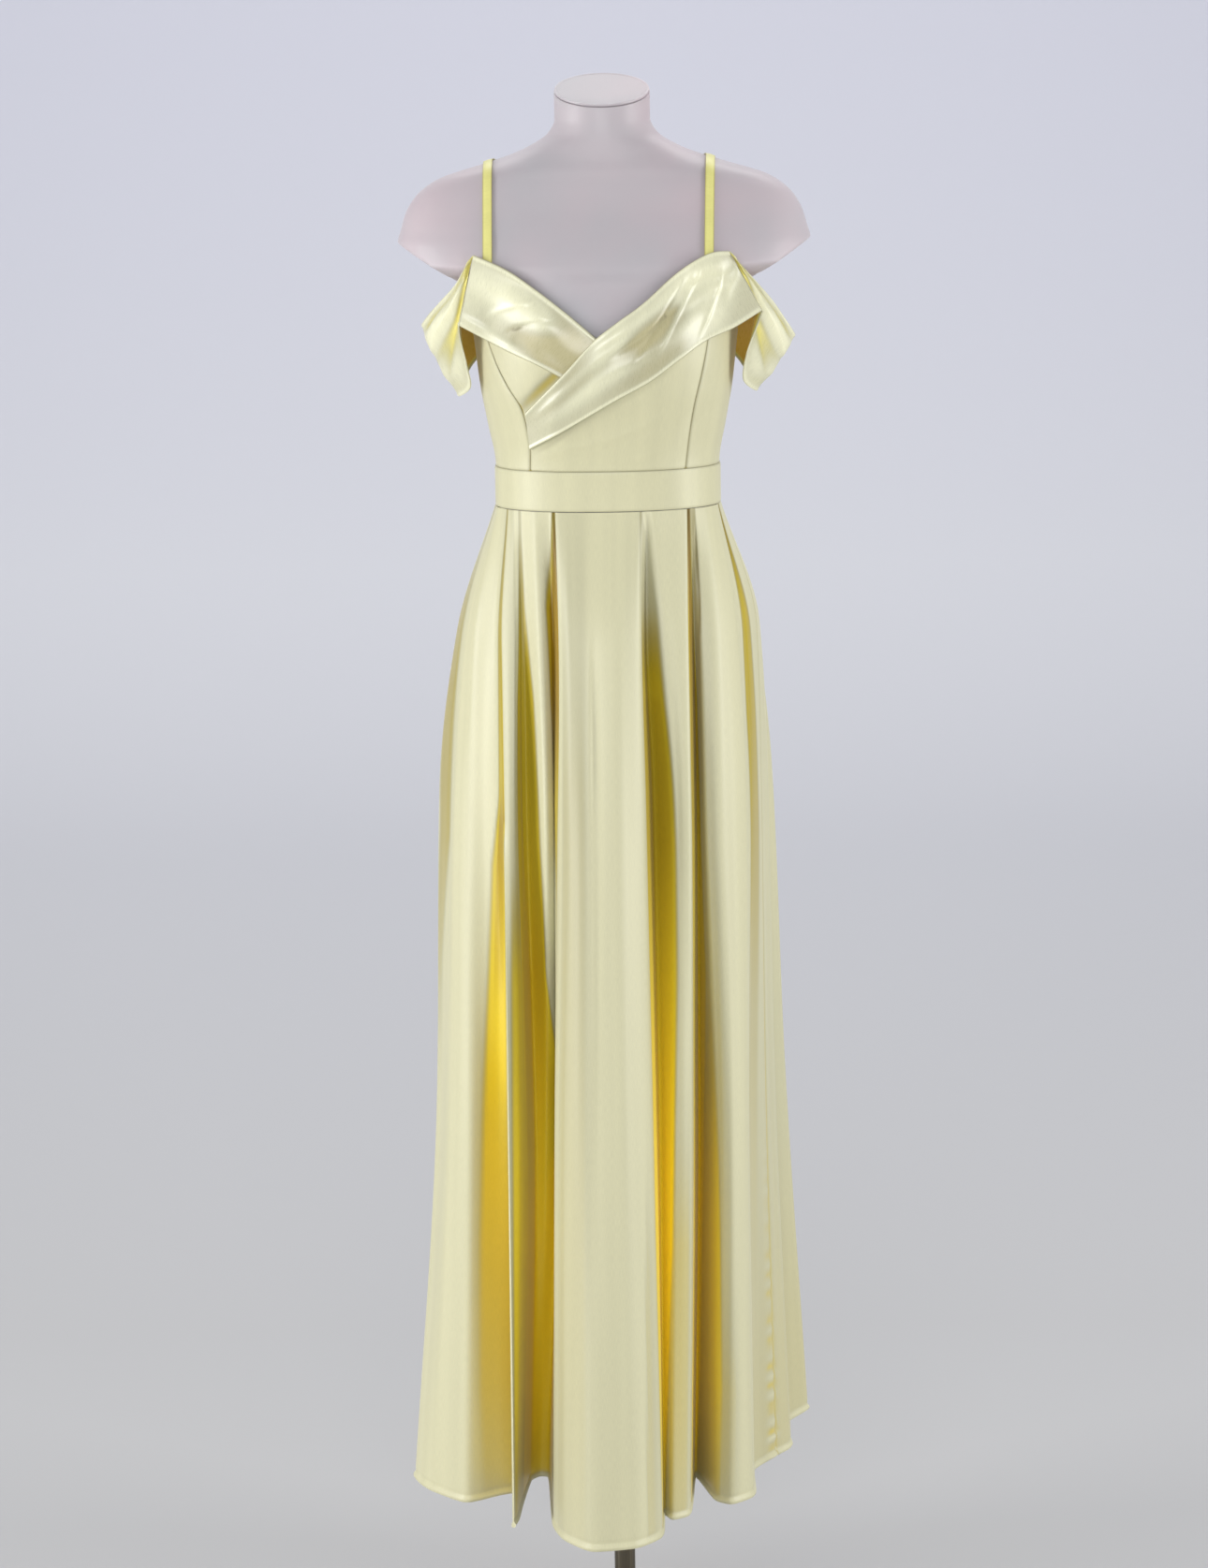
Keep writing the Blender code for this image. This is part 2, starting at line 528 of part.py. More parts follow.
def bodice():
    """Fitted panels, the crossed neckline bands, the waistband, straps and drapes."""
    half = CURVED_GAP / 2
    right, left = seam(RIGHT_PRINCESS, -half), seam(LEFT_PRINCESS, half)
    low = level(BAND_TOP + SEAM_GAP)
    panel("bodice_side_front_right", level(-89.9), right, low, edge(1402, 1408, 1420, 1434, 1444), 2.0, 1.6, 5, 14)
    panel("bodice_side_front_left", left, level(89.9), low, edge(1444, 1434, 1421, 1409, 1402), 2.0, 1.6, 5, 14)
    panel("bodice_centre_front", seam(RIGHT_PRINCESS, half), seam(LEFT_PRINCESS, -half), low,
          edge(1306, 1335, 1357, 1381, 1408), 2.0, 1.6, 14, 8)
    hidden = [(1316, -76), (1330, -66), (1350, -45), (1370, -23), (1392, -2), (1480, 10)]
    panel("bodice_cup_right", seam(RIGHT_PRINCESS, half), seam(hidden), level(1316),
          edge(1446, 1440, 1427, 1410, 1392), 2.0, 1.6, 8, 12)
    panel("bodice_back_right", level(-179.88), level(-90.1), low, edge(1404, 1409, 1412, 1408, 1402), 2.0, 1.6, 10, 8)
    panel("bodice_back_left", level(90.1), level(179.88), low, edge(1402, 1408, 1412, 1409, 1404), 2.0, 1.6, 10, 8)
    band = level(BAND_BOTTOM), level(BAND_TOP)
    panel("waistband_front", level(-89.9), level(89.9), *band, 2.4, 2.2, 20, 2)
    panel("waistband_back_right", level(-179.88), level(-90.1), *band, 2.4, 2.2, 10, 2)
    panel("waistband_back_left", level(90.1), level(179.88), *band, 2.4, 2.2, 10, 2)
    strip("neckline_band_right", BAND_STATIONS, [4.4, 4.4, 4.4, 4.6, 5.0, 5.0], 1.6, 15, 7)
    strip("wrap_front", WRAP_STATIONS, [5.2, 6.2, 6.4, 5.2, 5.2, 7.0, 8.0, 7.8, 4.8], 1.6, 16, 7)
    drape("sleeve_drape_right", RIGHT_DRAPE, 1.6)
    drape("sleeve_drape_left", LEFT_DRAPE, 1.6)
    strap("strap_right", -116, -115, -92, 1470, 1414, 4.6, 1.4)
    strap("strap_left", 103, 108, 90, 1470, 1414, 4.6, 1.4)


def stand():
    """The form's neck cap, the pole and the round base plate."""
    tilt = Matrix.Translation((0, 0, 1.6417)) @ Matrix.Rotation(NECK_TILT, 4, "X")
    disc("form_neck_cap", 0.0475, 0.0, 0.003, 40, "form", 0.001, tilt)
    disc("stand_pole", POLE_RADIUS, BASE_THICKNESS + 0.0002, 0.9998, 24, "steel")
    disc("stand_base", BASE_RADIUS, 0.0, BASE_THICKNESS, 64, "steel", 0.0015)


clear_scene()
form_torso()
stand()
bodice()
skirt_pieces(1.6)
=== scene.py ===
"""A pale yellow satin evening dress on a limbless dress form and stand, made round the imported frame.

Metres, +Z up, the dress faces -Y and viewer's left is -X. The tables are in millimetres, as a pattern maker
writes them. The sections follow the object as it is put together: the studio, the stand, the form, the fitted
bodice, the crossed neckline, the sleeve drapes, the straps, the waistband and the skirt.
"""
import math

import bpy
import numpy as np
from mathutils import Matrix, Vector


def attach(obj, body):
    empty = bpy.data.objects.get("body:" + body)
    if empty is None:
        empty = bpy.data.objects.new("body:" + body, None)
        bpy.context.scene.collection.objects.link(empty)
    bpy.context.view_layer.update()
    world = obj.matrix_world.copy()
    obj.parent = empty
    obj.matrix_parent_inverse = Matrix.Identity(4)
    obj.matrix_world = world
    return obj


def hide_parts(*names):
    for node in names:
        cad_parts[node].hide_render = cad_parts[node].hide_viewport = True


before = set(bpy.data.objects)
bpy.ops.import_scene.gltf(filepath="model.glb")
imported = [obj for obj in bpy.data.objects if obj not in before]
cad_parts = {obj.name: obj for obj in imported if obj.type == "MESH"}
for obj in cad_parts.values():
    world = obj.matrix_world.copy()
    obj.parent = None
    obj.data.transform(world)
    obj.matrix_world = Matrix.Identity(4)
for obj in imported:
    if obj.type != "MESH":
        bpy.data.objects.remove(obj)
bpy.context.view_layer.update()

# Studio.
# A sweep of pale paper runs down far behind the dress and forward under it. Two tall soft lamps stand to the
# sides, the stronger one on the viewer's left, with a weak one by the camera, one behind, one for the paper.
CAMERA_PLACE = (-0.009, -4.2, 1.70)
CAMERA_TILT, CAMERA_ROLL = math.radians(79.7), math.radians(-0.93)
# label, place, where it points, width, height, watts
LAMPS = [("key lamp", (-3.2, -1.25, 1.3), (0, 0, 0.85), 1.3, 2.6, 93),
         ("side lamp", (3.2, -1.1, 1.35), (0, 0, 0.85), 1.2, 2.6, 75),
         ("front lamp", (-0.4, -4.5, 1.9), (0, 0, 0.95), 2.4, 1.2, 64),
         ("back lamp", (0.3, 1.4, 3.4), (0, 0, 0.95), 2.6, 1.2, 34),
         ("paper lamp", (0, 3.0, 5.2), (0, 7.0, 1.2), 7.0, 1.0, 150)]

studio = bpy.context.scene
studio.view_settings.view_transform = "Standard"
camera = bpy.data.objects.new("camera", bpy.data.cameras.new("camera"))
camera.data.sensor_width, camera.data.lens = 36, 95.02
camera.matrix_world = (Matrix.Translation(CAMERA_PLACE) @ Matrix.Rotation(CAMERA_TILT, 4, "X")
                       @ Matrix.Rotation(CAMERA_ROLL, 4, "Z"))
studio.collection.objects.link(camera)
studio.camera = camera

for label, place, aim, width, height, power in LAMPS:
    lamp = bpy.data.objects.new(label, bpy.data.lights.new(label, "AREA"))
    lamp.data.shape, lamp.data.size, lamp.data.size_y, lamp.data.energy = "RECTANGLE", width, height, power
    lamp.location = place
    lamp.rotation_euler = (Vector(aim) - Vector(place)).to_track_quat("-Z", "Y").to_euler()
    studio.collection.objects.link(lamp)

studio.world = bpy.data.worlds.new("studio")
studio.world.use_nodes = True
air = studio.world.node_tree.nodes["Background"]
air.inputs["Color"].default_value, air.inputs["Strength"].default_value = (0.86, 0.89, 0.96, 1), 0.46


def add(nodes, kind, inputs=(), **settings):
    """A new shader node of a kind, with its own settings and then its inputs set from a table."""
    made = nodes.new("ShaderNode" + kind)
    for label, value in settings.items():
        setattr(made, label, value)
    for label, value in dict(inputs).items():
        made.inputs[label].default_value = value
    return made


def wire(links, *pairs):
    """A link from each output to its input."""
    for start, end in pairs:
        links.new(start, end)


def ramp(nodes, *stops):
    """A colour ramp through stops, each a place from 0 to 1 and a colour."""
    made = add(nodes, "ValToRGB")
    marks = made.color_ramp.elements
    for index, (place, colour) in enumerate(stops):
        mark = marks[index] if index < 2 else marks.new(place)
        mark.position, mark.color = place, (*colour, 1)
    return made


def new_look(name, inputs):
    """A new material, its nodes and links, and its shader with the inputs set from a table."""
    look = bpy.data.materials.new(name)
    look.use_nodes = True
    shader = look.node_tree.nodes["Principled BSDF"]
    for label, value in inputs.items():
        shader.inputs[label].default_value = value
    return look, look.node_tree.nodes, look.node_tree.links, shader


def show(name, mesh, look):
    """The mesh as a new smooth object at the origin, with one material."""
    mesh.polygons.foreach_set("use_smooth", np.ones(len(mesh.polygons), bool))
    mesh.materials.append(look)
    made = bpy.data.objects.new(name, mesh)
    studio.collection.objects.link(made)
    return made


def plain_mesh(name, points, faces, look):
    """A new object from rows of points and rows of four corner numbers."""
    mesh = bpy.data.meshes.new(name)
    mesh.vertices.add(len(points))
    mesh.vertices.foreach_set("co", np.ascontiguousarray(points, np.float32).ravel())
    mesh.loops.add(faces.size)
    mesh.loops.foreach_set("vertex_index", np.ascontiguousarray(faces, np.int32).ravel())
    mesh.polygons.add(len(faces))
    mesh.polygons.foreach_set("loop_start", np.arange(0, faces.size, faces.shape[1], dtype=np.int32))
    mesh.update(calc_edges=True)
    return show(name, mesh, look)


def grid_faces(rows, cols, first=0, flip=False):
    """The four corner numbers of every face of a grid whose points are numbered row by row from first."""
    at = first + np.arange(rows * cols).reshape(rows, cols)
    faces = np.stack([at[:-1, :-1], at[1:, :-1], at[1:, 1:], at[:-1, 1:]], axis=-1).reshape(-1, 4)
    return faces[:, ::-1] if flip else faces


def paper_look():
    """Matt paper, a little bluer where it turns up, with painted light: painted shade greys it near the dress
    and it is painted paler further back.
    """
    look, nodes, links, shader = new_look("paper", {"Roughness": 0.95, "Specular IOR Level": 0.1})
    place, split = add(nodes, "TexCoord"), add(nodes, "SeparateXYZ")
    share = add(nodes, "Math", {1: PAPER_BACK}, operation="DIVIDE")
    # painted shade on the floor near the dress, painted light further back on the paper
    tone = ramp(nodes, (0.15, (0.49, 0.487, 0.487)), (0.82, (0.71, 0.712, 0.74)), (1.0, (0.67, 0.67, 0.74)))
    wire(links, (place.outputs["Object"], split.inputs[0]), (split.outputs["Y"], share.inputs[0]),
         (share.outputs[0], tone.inputs[0]), (tone.outputs[0], shader.inputs["Base Color"]))
    return look


# the paper in metres: in front of the dress, to each side, behind it to the bend, the bend's radius, the
# height above the bend, and how far behind the dress the last tone begins
PAPER_FRONT, PAPER_SIDE, PAPER_FLOOR, PAPER_BEND, PAPER_TOP, PAPER_BACK = 8.0, 8.0, 4.6, 3.0, 4.0, 7.4
on_floor, in_bend = PAPER_FRONT + PAPER_FLOOR, math.pi / 2 * PAPER_BEND
walk = np.linspace(0, on_floor + in_bend + PAPER_TOP, 60)[:, None]
turn = np.clip((walk - on_floor) / PAPER_BEND, 0, math.pi / 2)
sweep_y = np.where(turn > 0, PAPER_FLOOR + PAPER_BEND * np.sin(turn), walk - PAPER_FRONT)
sweep_z = PAPER_BEND * (1 - np.cos(turn)) + np.clip(walk - on_floor - in_bend, 0, None) - 0.0005
paper = np.stack(np.broadcast_arrays(np.linspace(-PAPER_SIDE, PAPER_SIDE, 12), sweep_y, sweep_z), axis=-1)
plain_mesh("paper_sweep", paper.reshape(-1, 3), grid_faces(60, 12, flip=True), paper_look())

# Stand.
# A dark brushed steel pole under the form, on a round plate. Both keep the shape of the frame's own solids and
# get the streaks that a belt leaves along a tube and round a plate.


def steel_look(name, along):
    """Dark brushed steel, with fine streaks that run the way given by the stretch of the noise."""
    look, nodes, links, shader = new_look(name, {"Metallic": 1.0})
    place, stretch = add(nodes, "TexCoord"), add(nodes, "Mapping", {"Scale": along})
    streak = add(nodes, "TexNoise", {"Scale": 1.0, "Detail": 4})
    tone = ramp(nodes, (0.0, (0.10, 0.085, 0.06)), (1.0, (0.19, 0.17, 0.13)))
    rough = add(nodes, "MapRange", {"To Min": 0.30, "To Max": 0.48})
    bump = add(nodes, "Bump", {"Strength": 0.25, "Distance": 0.0002})
    wire(links, (place.outputs["Object"], stretch.inputs["Vector"]),
         (stretch.outputs[0], streak.inputs["Vector"]),
         (streak.outputs[0], tone.inputs[0]), (streak.outputs[0], rough.inputs["Value"]),
         (streak.outputs[0], bump.inputs["Height"]), (tone.outputs[0], shader.inputs["Base Color"]),
         (rough.outputs[0], shader.inputs["Roughness"]), (bump.outputs[0], shader.inputs["Normal"]))
    return look


for node, along in (("stand_pole", (900, 900, 12)), ("stand_base", (60, 900, 60))):
    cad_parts[node].data.materials.clear()
    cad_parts[node].data.materials.append(steel_look(node + "_steel", along))

# Dress form.
# A hollow display form blown in frosted mauve-grey plastic: shoulders with arm ends cut flat and aslant, and a
# short neck. Its surface is stacked sections, each one |x/a|^n + |y/b|^n = 1, smoothed from height to height.
NECK_FOOT, NECK_TOP, NECK_TILT = 1614.0, 1641.5, math.radians(18.4)
# each arm end is cut off along a slanted line in the front view, given by two of its points: x, height
ARM_CUT = ((151.0, 1458.6), (240.0, 1515.7))
# height, half width, depth in front, depth behind, roundness n (2 is an ellipse)
FORM_SECTIONS = np.array([
    (1000, 138, 90, 106, 2.2), (1060, 140, 92, 108, 2.2), (1120, 133, 90, 104, 2.2), (1180, 120, 86, 95, 2.2),
    (1228, 110, 84, 86, 2.2), (1269, 110, 86, 84, 2.2), (1311, 117, 95, 84, 2.3), (1350, 124, 106, 87, 2.4),
    (1385, 128, 112, 90, 2.4), (1402, 130, 111, 91, 2.4), (1430, 137, 105, 91, 2.4), (1445, 144, 100, 90, 2.4),
    (1456, 150, 97, 89, 2.4), (1464, 176, 94, 88, 2.4), (1474, 204, 91, 87, 2.4), (1492, 208, 84, 85, 2.4),
    (1508, 204, 77, 81, 2.4), (1524, 199, 70, 76, 2.35), (1540, 189, 64, 71, 2.3), (1549, 179, 61, 68, 2.25),
    (1558, 164, 58, 64, 2.2), (1565, 143, 56, 61, 2.2), (1569, 129, 54.5, 59.5, 2.2), (1573, 116, 53, 58, 2.15),
    (1579, 97, 51.5, 56, 2.1), (1587, 77, 50, 54, 2.1), (1601, 55, 48, 50, 2.0), (1614, 48, 47, 48, 2.0),
    (1640, 47, 47, 47, 2.0), (1700, 47, 47, 47, 2.0)], float)


def cubic(u, step, start, end, leaving, arriving):
    """The cubic over a step from start to end, with the slopes given at its ends, at the share u of it."""
    return ((1 + 2 * u) * (1 - u) ** 2 * start + u * (1 - u) ** 2 * step * leaving
            + u ** 2 * (3 - 2 * u) * end + u ** 2 * (u - 1) * step * arriving)


def curve_through(heights, values, at):
    """A smooth curve through the points (heights, values) that never overshoots between two of them.

    Cubic pieces whose slope at a point is the harmonic mean of the slopes on its two sides, or 0 at a turn.
    """
    h, v, at = np.asarray(heights, float), np.asarray(values, float), np.asarray(at, float)
    step = np.diff(h)
    rise = np.diff(v, axis=0) / step.reshape(-1, *[1] * (v.ndim - 1))
    slope = np.zeros_like(v)
    both, total = rise[:-1] * rise[1:], rise[:-1] + rise[1:]
    slope[1:-1] = np.where(both > 0, 2 * both / np.where(total == 0, 1, total), 0)
    slope[0], slope[-1] = rise[0], rise[-1]
    at = np.clip(at, h[0], h[-1])
    k = np.clip(np.searchsorted(h, at, side="right") - 1, 0, len(h) - 2)
    shape = at.shape + (1,) * (v.ndim - 1)
    u, d = ((at - h[k]) / step[k]).reshape(shape), step[k].reshape(shape)
    return cubic(u, d, v[k], v[k + 1], slope[k], slope[k + 1])


def section(z):
    """The form's half width, its depths in front and behind, and its roundness at each height."""
    return np.moveaxis(curve_through(FORM_SECTIONS[:, 0], FORM_SECTIONS[:, 1:], z), -1, 0)


def body_point(degrees, z, out):
    """The point on the form at an angle from the front (positive to +X), pushed out level by out mm.

    x = a |sin t|^(2/n) and y = -b |cos t|^(2/n), with the signs of sin t and cos t.
    """
    a, front, back, n = section(z)
    s, c = np.sin(np.radians(degrees)), np.cos(np.radians(degrees))
    b = np.where(c > 0, front, back)
    x = a * np.sign(s) * np.abs(s) ** (2 / n)
    y = -b * np.sign(c) * np.abs(c) ** (2 / n)
    nx, ny = np.sign(x) * np.abs(x / a) ** (n - 1) / a, np.sign(y) * np.abs(y / b) ** (n - 1) / b
    size = np.hypot(nx, ny)
    return np.stack(np.broadcast_arrays(x + out * nx / size, y + out * ny / size, z), axis=-1)


def rounds_mesh(name, rings, look):
    """A closed solid from rings of points (rows of N points, mm), each end closed by one flat face."""
    at = np.arange(rings.shape[0] * rings.shape[1]).reshape(rings.shape[:2])
    beside = np.roll(at, -1, axis=1)
    sides = np.stack([at[:-1], beside[:-1], beside[1:], at[1:]], axis=-1).reshape(-1, 4)
    mesh = bpy.data.meshes.new(name)
    mesh.from_pydata((rings.reshape(-1, 3) / 1000).tolist(), [],
                     [*sides.tolist(), at[0][::-1].tolist(), at[-1].tolist()])
    made = show(name, mesh, look)
    mesh.set_sharp_from_angle(angle=math.radians(38))
    return made


def frosted_look():
    """Frosted translucent plastic: mauve-grey, pinker in broad patches, a soft bloom on the turning edges."""
    look, nodes, links, shader = new_look("frosted_plastic", {
        "Subsurface Weight": 0.3, "Subsurface Radius": (0.02, 0.016, 0.018), "Subsurface Scale": 1.0,
        "Coat Weight": 0.05, "Sheen Weight": 0.12, "Sheen Roughness": 0.4,
        "Sheen Tint": (1.0, 0.93, 0.95, 1)})
    place = add(nodes, "TexCoord").outputs["Object"]
    patches, fine = (add(nodes, "TexNoise", {"Scale": scale, "Detail": 2}) for scale in (6.0, 1500))
    tone = ramp(nodes, (0.35, (0.44, 0.42, 0.435)), (0.68, (0.52, 0.43, 0.45)))
    rough = add(nodes, "MapRange", {"To Min": 0.42, "To Max": 0.6})
    bump = add(nodes, "Bump", {"Strength": 0.25, "Distance": 0.0001})
    wire(links, (place, patches.inputs["Vector"]), (place, fine.inputs["Vector"]),
         (patches.outputs[0], tone.inputs[0]), (tone.outputs[0], shader.inputs["Base Color"]),
         (fine.outputs[0], rough.inputs["Value"]), (rough.outputs[0], shader.inputs["Roughness"]),
         (fine.outputs[0], bump.inputs["Height"]), (bump.outputs[0], shader.inputs["Normal"]))
    return look


plastic = frosted_look()
turns = np.linspace(0, 360, 181)[:-1]
heights = np.concatenate([np.linspace(1000, 1450, 46), np.arange(1453, 1512, 1.5),
                          np.arange(1513, 1614, 2.5)])
torso = body_point(turns, heights[:, None] + 0 * turns, 0)
(low_x, low_z), (high_x, high_z) = ARM_CUT
slant = low_x + (heights - low_z) * (high_x - low_x) / (high_z - low_z)
reach = np.where(heights > low_z, slant, 1e3)[:, None]
torso[..., 0] = np.clip(torso[..., 0], -reach, reach)
neck = body_point(turns, np.full(len(turns), NECK_FOOT), 0)
neck_top = NECK_TOP + neck[:, 1] * math.tan(NECK_TILT)
rise = np.linspace(0, 1, 14)[:, None]
neck_z = NECK_FOOT + rise * (neck_top - NECK_FOOT)
neck_rings = np.stack(np.broadcast_arrays(neck[:, 0], neck[:, 1], neck_z), axis=-1)
form = rounds_mesh("display_form", np.concatenate([torso, neck_rings]), plastic)
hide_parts("form_torso")

# the cap's profile: radius, height over the slanted top
cap_profile = np.array([(47.0, 0.15), (47.5, 0.6), (47.5, 2.2), (47.1, 2.8), (46.2, 3.0), (45.2, 2.7),
                        (44.6, 2.35), (43.8, 2.3), (30, 2.3), (12, 2.3)])
spin = np.radians(np.linspace(0, 360, 97)[:-1])
cap = np.stack(np.broadcast_arrays(cap_profile[:, :1] * np.cos(spin), cap_profile[:, :1] * np.sin(spin),
                                   cap_profile[:, 1:]), axis=-1)
tilt = np.array(Matrix.Rotation(NECK_TILT, 3, "X"))
neck_cap = rounds_mesh("neck_cap", cap @ tilt.T + np.array([0, 0, NECK_TOP + 0.2]), plastic)
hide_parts("form_neck_cap")
for piece in (form, neck_cap):
    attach(piece, "root")

# Fitted bodice.
# Six cut panels of pale yellow satin, worn with the dull side out, sewn with narrow seams that sink a little.
# The panels are stretched smooth over the form, with faint pulls under the wrap.
# seams, and the cup's edge under the wrap: height, x
RIGHT_PRINCESS = [(1268, -78), (1291, -77.5), (1310, -80), (1331, -85), (1355, -99), (1380, -111),
                  (1407, -119), (1480, -121)]
LEFT_PRINCESS = [(1268, 78), (1309, 83), (1337, 88), (1361, 94), (1395, 101), (1430, 105), (1480, 108)]
HIDDEN_EDGE = [(1316, -76), (1330, -66), (1350, -45), (1370, -23), (1392, -2), (1480, 10)]
# the satin's own pale colour, then the painted shade colours of its folds: golden for light bounced between the
# folds, and deeper
PALE, SHADE_GOLD, DEEP_SHADE_GOLD = (0.58, 0.555, 0.355, 1), (0.98, 0.74, 0.03, 1), (0.66, 0.40, 0.002, 1)


def woven_satin():
    """The shared face of the cloth: its colour with painted fold shade and highlights, its threads and painted
    sheen streaks.

    Colour = pale, mixed to the painted shade colour over painted shade 0.15 to 0.7 and to the deeper painted
    shade colour over 0.78 to 1.
    Its value is multiplied by 1 at painted shade 0, 0.72 at 0.45, 0.94 from 0.8 on, where it is a painted glow
    of light bounced inside the folds, and 1.16 at -0.5, a painted highlight on crests, by one minus the painted
    dimming, and by 0.965 to 1.035 with a noise drawn out in threads and about as much with broad streaks, a
    painted sheen.
    Height = the noise in threads, and Roughness = the given one, up to 0.035 more or less with that noise.
    """
    group = bpy.data.node_groups.new("woven_satin", "ShaderNodeTree")
    sockets = {"INPUT": {"Vector": "Vector", "Depth": "Float", "Pale": "Color", "Shade Gold": "Color",
                         "Deep Shade": "Color", "Rough": "Float", "Painted Dimming": "Float"},
               "OUTPUT": {"Colour": "Color", "Roughness": "Float", "Height": "Float"}}
    for way, kinds in sockets.items():
        for label, kind in kinds.items():
            group.interface.new_socket(label, in_out=way, socket_type="NodeSocket" + kind)
    nodes, links = group.nodes, group.links
    given, result = nodes.new("NodeGroupInput").outputs, nodes.new("NodeGroupOutput").inputs

    def noise(scale):
        stretch = add(nodes, "Mapping", {"Scale": scale})
        texture = add(nodes, "TexNoise", {"Scale": 1, "Detail": 2})
        wire(links, (given["Vector"], stretch.inputs["Vector"]),
             (stretch.outputs[0], texture.inputs["Vector"]))
        return texture.outputs[0]

    def ranged(value, low, high, to_low, to_high, kind="SMOOTHSTEP"):
        ends = {"From Min": low, "From Max": high, "To Min": to_low, "To Max": to_high}
        made = add(nodes, "MapRange", ends, interpolation_type=kind)
        links.new(value, made.inputs["Value"])
        return made.outputs[0]

    def mixed(factor, one, two):
        made = add(nodes, "Mix", data_type="RGBA")
        wire(links, (factor, made.inputs["Factor"]), (one, made.inputs["A"]), (two, made.inputs["B"]))
        return made.outputs["Result"]

    def combined(kind, one, two):
        made = add(nodes, "Math", operation=kind)
        wire(links, (one, made.inputs[0]), (two, made.inputs[1]))
        return made.outputs[0]

    # broad streaks of painted sheen over the noise in threads
    fold_shade, threads, streaks = given["Depth"], noise((2600, 130, 1)), noise((46, 1.5, 1))
    colour = mixed(ranged(fold_shade, 0.15, 0.7, 0, 1), given["Pale"], given["Shade Gold"])
    colour = mixed(ranged(fold_shade, 0.78, 1.0, 0, 1), colour, given["Deep Shade"])
    value = ranged(given["Painted Dimming"], 0, 1, 1, 0, "LINEAR")
    for factor in (ranged(fold_shade, 0.0, 0.45, 1, 0.72), ranged(fold_shade, 0.45, 0.8, 1, 1.3),
                   ranged(fold_shade, -0.5, 0.0, 1.16, 1, "LINEAR"), ranged(threads, 0.3, 0.7, 0.965, 1.035),
                   ranged(streaks, 0.3, 0.7, 0.968, 1.03)):
        value = combined("MULTIPLY", value, factor)
    tone = add(nodes, "HueSaturation")
    rough = combined("ADD", given["Rough"], ranged(threads, 0.3, 0.7, -0.035, 0.035))
    wire(links, (colour, tone.inputs["Color"]), (value, tone.inputs["Value"]),
         (tone.outputs[0], result["Colour"]), (rough, result["Roughness"]), (threads, result["Height"]))
    return group


satin_face = woven_satin()


def satin_look(name, rough, pale=PALE, shade_gold=SHADE_GOLD, deep_shade=DEEP_SHADE_GOLD, stretch=0.35, gloss=0.5, sheen=0.25):
    """A satin finish: the woven face with its painted fold shade and highlights, its gloss drawn out along the
    threads and a soft sheen at the rims.
    """
    look, nodes, links, shader = new_look(name, {
        "Specular IOR Level": gloss, "Anisotropic": stretch, "Sheen Weight": sheen, "Sheen Roughness": 0.35,
        "Sheen Tint": (1.0, 0.96, 0.72, 1)})
    face = add(nodes, "Group", node_tree=satin_face)
    for label, value in (("Pale", pale), ("Shade Gold", shade_gold), ("Deep Shade", deep_shade), ("Rough", rough)):
        face.inputs[label].default_value = value
    spread = add(nodes, "UVMap", uv_map="cloth")
    # the painted fold shade and the painted dimming kept on each cloth's points
    fold_shade, dim = (add(nodes, "Attribute", attribute_name=label) for label in ("painted_fold_shade", "painted_fold_dimming"))
    bump = add(nodes, "Bump", {"Strength": 0.2, "Distance": 0.00006})
    wire(links, (spread.outputs[0], face.inputs["Vector"]), (fold_shade.outputs["Fac"], face.inputs["Depth"]),
         (dim.outputs["Fac"], face.inputs["Painted Dimming"]), (face.outputs["Colour"], shader.inputs["Base Color"]),
         (face.outputs["Roughness"], shader.inputs["Roughness"]),
         (face.outputs["Height"], bump.inputs["Height"]), (bump.outputs[0], shader.inputs["Normal"]))
    return look


def bell(distance, width):
    """A bell over a distance: exp(-(distance / width)^2)."""
    return np.exp(-(distance / width) ** 2)


def walked(grid, axis):
    """How far each point of a grid is from the first one of its row (axis 1) or column (axis 0), in mm."""
    return np.insert(np.cumsum(np.linalg.norm(np.diff(grid, axis=axis), axis=-1), axis=axis), 0, 0, axis=axis)


def from_edges(grid):
    """How far each point of a grid is from the nearer side, the first row and the last row, in mm."""
    along, down = walked(grid, 1), walked(grid, 0)
    return np.minimum(along, along[:, -1:] - along), down, down[-1:] - down


